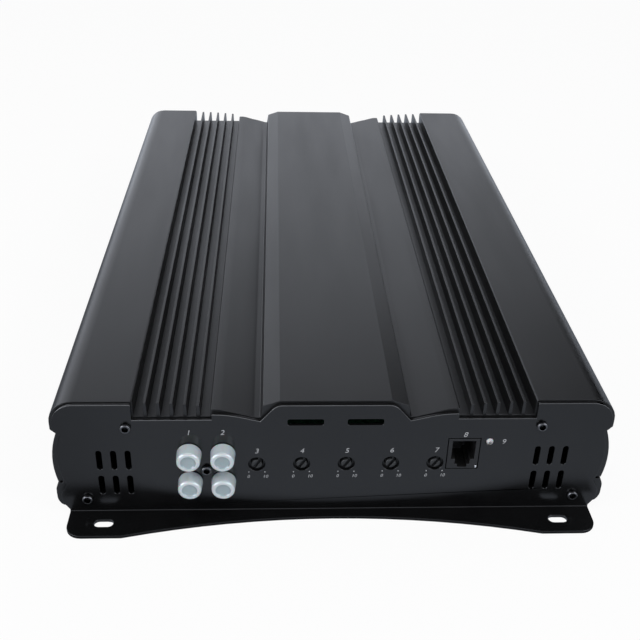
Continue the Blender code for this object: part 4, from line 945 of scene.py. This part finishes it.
class AMPLIFIER_OT_printing(bpy.types.Operator):
    """Print plain numbers and scale dots round the controls"""
    bl_idname = "amplifier.printing"
    bl_label = "Print the Panel"

    def execute(self, context):
        settings = context.scene.amplifier_print
        thin = settings.thickness
        over_jack = 0.0105
        over_trimmer = 0.0070
        over_socket = 0.0022
        right_of_indicator = 0.0058
        over_indicator = 0.0004
        heights = [(jack + "_cap", over_jack) for jack in ("rca_output_upper", "rca_input_upper")]
        heights += [(trimmer + "_shaft", over_trimmer) for trimmer in TRIMMERS]
        numbers = []
        for node, rise in heights:
            spot = middle(node)
            numbers.append((spot.x, spot.z + rise))
        low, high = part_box("remote_jack")
        numbers.append(((low.x + high.x) / 2, high.z + over_socket))
        spot = middle("power_led")
        numbers.append((spot.x + right_of_indicator, spot.z + over_indicator))
        prints = [printed_text(str(index + 1), settings.number, x, z, thin)
                  for index, (x, z) in enumerate(numbers)]
        dot_aside, dot_under = 0.0034, 0.0041
        end_aside, end_under = 0.0036, 0.0066
        for trimmer in TRIMMERS:
            spot = middle(trimmer + "_shaft")
            for side, text in ((-1, "0"), (1, "10")):
                prints.append(printed_dot(settings.dot, spot.x + side * dot_aside, spot.z - dot_under, thin))
                prints.append(printed_text(text, settings.scale_number, spot.x + side * end_aside,
                                           spot.z - end_under, thin))
        alone(prints[0])
        for piece in prints:
            piece.select_set(True)
        bpy.ops.object.join()
        sheet = named("panel_printing")
        fit(sheet, ink_finish(settings.ink))
        return {"FINISHED"}


# ---------------------------------------------------------------- studio

# Gloss sees these. Each row says from where to where it changes, by the direction of the light as a
# vector of length 1, and its strength at both.
SWEEP = (0.444, 0.648, 1.38, 0.02)
SWEEP_TILT = 1.28
LOW_DIP = (0.28, 0.44, -0.46, 0.0)
LOW_DIP_TO_RIGHT = (0.0, 0.3, 1.0, 1.45)
HORIZON = (0.0, 0.2, 1.5, 0.0)
HORIZON_FORE_AND_AFT = (0.65, 0.95, 0.4, 1.0)
HORIZON_TO_RIGHT = (0.5, 0.75, 0.0, 0.45)
ZENITH = (0.78, 0.90, 0.0, 2.2)
ZENITH_TO_BACK = (0.0, 0.2, 0.0, 1.0)
WINDOW = (0.86, 0.95, 0.0, 3.3)
WINDOW_SIDES = ((-0.85, -0.46, 0.26), (0.74, -0.57, 0.36))

# The same for the floor, by the distance from the middle in metres, and by the share of it to one side.
FLOOR_GLARE = (0.35, 2.2, 0.60, 2.4)
FLOOR_TO_LEFT = (-0.78, -0.36, 0.28, 1.0)
FLOOR_TO_RIGHT = (0.36, 0.78, 1.0, 0.68)

# Each lamp's name, place, width and power.
LAMPS = (
    ("left_lamp", (-1.00, -0.56, 0.78), 0.3, 3.6),
    ("right_lamp", (0.84, -0.66, 0.90), 0.3, 3.8),
    ("front_lamp", (-0.1, -0.75, 1.6), 0.7, 6.5),
)


def world_light(scene):
    """White for the camera, a studio sweep for gloss, and plain light for the rest.

    The sweep is brightest low down and dims upwards, sooner on the right. A glow high behind and a window
    low on each side give the highlights.
    """
    world = bpy.data.worlds.new("studio")
    scene.world = world
    world.use_nodes = True
    light = Nodes(world.node_tree)
    light.tree.nodes.clear()
    maths = light.maths
    spread = light.spread
    outlook = light.add("ShaderNodeTexCoord").outputs["Generated"]
    parts = light.add("ShaderNodeSeparateXYZ", {"Vector": outlook}).outputs
    up = parts["Z"]
    right = maths("MAXIMUM", parts["X"], 0.0)
    climb = maths("ADD", maths("MULTIPLY", right, maths("MULTIPLY", right, SWEEP_TILT)), up)
    sweep = spread(climb, *SWEEP)
    low_dip = maths("MULTIPLY", spread(up, *LOW_DIP), spread(right, *LOW_DIP_TO_RIGHT))
    share = maths("ADD", spread(maths("ABSOLUTE", parts["Y"]), *HORIZON_FORE_AND_AFT),
                  spread(right, *HORIZON_TO_RIGHT))
    horizon = maths("MULTIPLY", spread(up, *HORIZON), share)
    highlights = maths("MULTIPLY", spread(up, *ZENITH), spread(parts["Y"], *ZENITH_TO_BACK))
    for side in WINDOW_SIDES:
        facing = light.add("ShaderNodeVectorMath", {0: outlook, 1: side}, operation="DOT_PRODUCT")
        highlights = maths("ADD", highlights, spread(facing.outputs["Value"], *WINDOW))
    strength = maths("ADD", maths("ADD", sweep, low_dip), maths("ADD", horizon, highlights))
    shine = light.add("ShaderNodeBackground", {"Color": (0.93, 0.97, 1.06, 1), "Strength": strength})
    soft = light.add("ShaderNodeBackground", {"Color": (0.97, 0.98, 1, 1), "Strength": 0.5})
    white = light.add("ShaderNodeBackground", {"Color": (1, 1, 1, 1), "Strength": 1.0})
    path = light.add("ShaderNodeLightPath").outputs
    glossy = maths("MAXIMUM", path["Is Glossy Ray"], path["Is Transmission Ray"])
    unseen = light.mixed(glossy, soft, shine)
    seen = light.mixed(path["Is Camera Ray"], unseen, white)
    light.add("ShaderNodeOutputWorld", {"Surface": seen.outputs[0]})


def floor_finish(pale):
    """Pale floor that shows white to the camera and gloss, and keeps part of the shadows.

    Gloss sees it dim in a narrow strip along the feet, as in their shade, but not through their slots.
    """
    finish = Finish("floor_finish", pale, 0.9)
    maths = finish.maths
    spread = finish.spread
    reach = finish.add("ShaderNodeVectorMath", {0: finish.place}, operation="LENGTH").outputs["Value"]
    parts = finish.add("ShaderNodeSeparateXYZ", {"Vector": finish.place}).outputs
    sideways = maths("DIVIDE", parts["X"], reach)
    share = maths("MULTIPLY", spread(sideways, *FLOOR_TO_LEFT), spread(sideways, *FLOOR_TO_RIGHT))
    # Metres from the middle: past the sides, over the slots, and the feet's edge from waist to pads.
    waist, pads = 0.1896, 0.2002
    strip_width, strip_glare = 0.006, 0.15
    across = maths("ABSOLUTE", parts["X"])
    along = maths("ABSOLUTE", parts["Y"])
    beside = spread(across, 0.118, 0.120, 0, 1)
    in_slots = maths("MULTIPLY", spread(across, 0.086, 0.088, 0, 1), spread(along, 0.1955, 0.1965, 1, 0))
    feet_edge = spread(maths("POWER", across, 2), 0, 0.0082, waist, pads)
    strip = spread(maths("SUBTRACT", along, feet_edge), 0, strip_width, strip_glare, 1.0)
    clear = maths("MAXIMUM", in_slots, maths("MAXIMUM", beside, strip))
    share = maths("MULTIPLY", share, clear)
    glare = maths("MULTIPLY", spread(reach, *FLOOR_GLARE), share)
    mirror = finish.add("ShaderNodeEmission", {"Color": (0.89, 0.97, 1.11, 1), "Strength": glare})
    glow = finish.add("ShaderNodeEmission", {"Color": (1, 1, 1, 1), "Strength": 1.0})
    path = finish.add("ShaderNodeLightPath").outputs
    glossy = maths("MAXIMUM", path["Is Glossy Ray"], path["Is Transmission Ray"])
    white_share = maths("MULTIPLY", path["Is Camera Ray"], 0.93)      # the rest keeps the shadows
    unseen = finish.mixed(glossy, finish.shader, mirror)
    seen = finish.mixed(white_share, unseen, glow)
    output = finish.tree.nodes["Material Output"]
    finish.tree.links.new(seen.outputs[0], output.inputs["Surface"])
    finish.relief((finish.grain(30, 2), 0.0001))
    return finish.material


def soft_lamp(scene, name, place, width, power):
    """A square area lamp that faces the middle of the amplifier and doesn't show in gloss."""
    lamp = bpy.data.lights.new(name, "AREA")
    lamp.shape = "SQUARE"
    lamp.size = width
    lamp.energy = power
    holder = bpy.data.objects.new(name, lamp)
    holder.location = place
    holder.rotation_euler = (-Vector(place)).to_track_quat("-Z", "Y").to_euler()
    holder.visible_glossy = False
    scene.collection.objects.link(holder)


class AMPLIFIER_OT_studio(bpy.types.Operator):
    """Set up the floor, the light and the camera"""
    bl_idname = "amplifier.studio"
    bl_label = "Set Up the Studio"

    def execute(self, context):
        scene = context.scene
        settings = scene.amplifier_studio
        bpy.ops.object.select_all(action="DESELECT")
        bpy.ops.mesh.primitive_grid_add(x_subdivisions=8, y_subdivisions=8, size=2 * settings.floor)
        floor = named("studio_floor")
        floor.data.materials.append(floor_finish(settings.pale))
        world_light(scene)
        for name, place, width, power in LAMPS:
            soft_lamp(scene, name, place, width, power)
        camera = bpy.data.objects.new("camera", bpy.data.cameras.new("camera"))
        camera.data.lens = settings.lens
        camera.data.sensor_width = 36
        camera.data.clip_start = 0.01
        camera.location = settings.place
        camera.rotation_euler = settings.turn
        scene.collection.objects.link(camera)
        scene.camera = camera
        scene.view_settings.view_transform = "Standard"
        return {"FINISHED"}


# ---------------------------------------------------------------- add-on

OPERATORS = (
    AMPLIFIER_OT_case,
    AMPLIFIER_OT_screws,
    AMPLIFIER_OT_jacks,
    AMPLIFIER_OT_trimmers,
    AMPLIFIER_OT_socket,
    AMPLIFIER_OT_indicator,
    AMPLIFIER_OT_terminals,
    AMPLIFIER_OT_circuit,
    AMPLIFIER_OT_printing,
    AMPLIFIER_OT_studio,
)


class AMPLIFIER_PT_finish(bpy.types.Panel):
    """Lists the settings and steps of the amplifier's finish"""
    bl_idname = "AMPLIFIER_PT_finish"
    bl_label = "Amplifier"
    bl_space_type = "VIEW_3D"
    bl_region_type = "UI"
    bl_category = "Amplifier"

    def draw(self, context):
        for operator in OPERATORS:
            self.layout.operator(operator.bl_idname)
        for name in SETTINGS:
            column = self.layout.box().column()
            settings = getattr(context.scene, name)
            for setting in settings.__annotations__:
                column.prop(settings, setting)


CLASSES = tuple(SETTINGS.values()) + OPERATORS + (AMPLIFIER_PT_finish,)


def register():
    for made in CLASSES:
        bpy.utils.register_class(made)
    for name, group in SETTINGS.items():
        setattr(bpy.types.Scene, name, bpy.props.PointerProperty(type=group))


def unregister():
    for name in SETTINGS:
        delattr(bpy.types.Scene, name)
    for made in reversed(CLASSES):
        bpy.utils.unregister_class(made)


def main():
    """Run every step in order."""
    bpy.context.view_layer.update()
    register()
    bpy.ops.amplifier.case()
    bpy.ops.amplifier.screws()
    bpy.ops.amplifier.jacks()
    bpy.ops.amplifier.trimmers()
    bpy.ops.amplifier.socket()
    bpy.ops.amplifier.indicator()
    bpy.ops.amplifier.terminals()
    bpy.ops.amplifier.circuit()
    bpy.ops.amplifier.printing()
    bpy.ops.amplifier.studio()


if __name__ == "__main__":
    main()
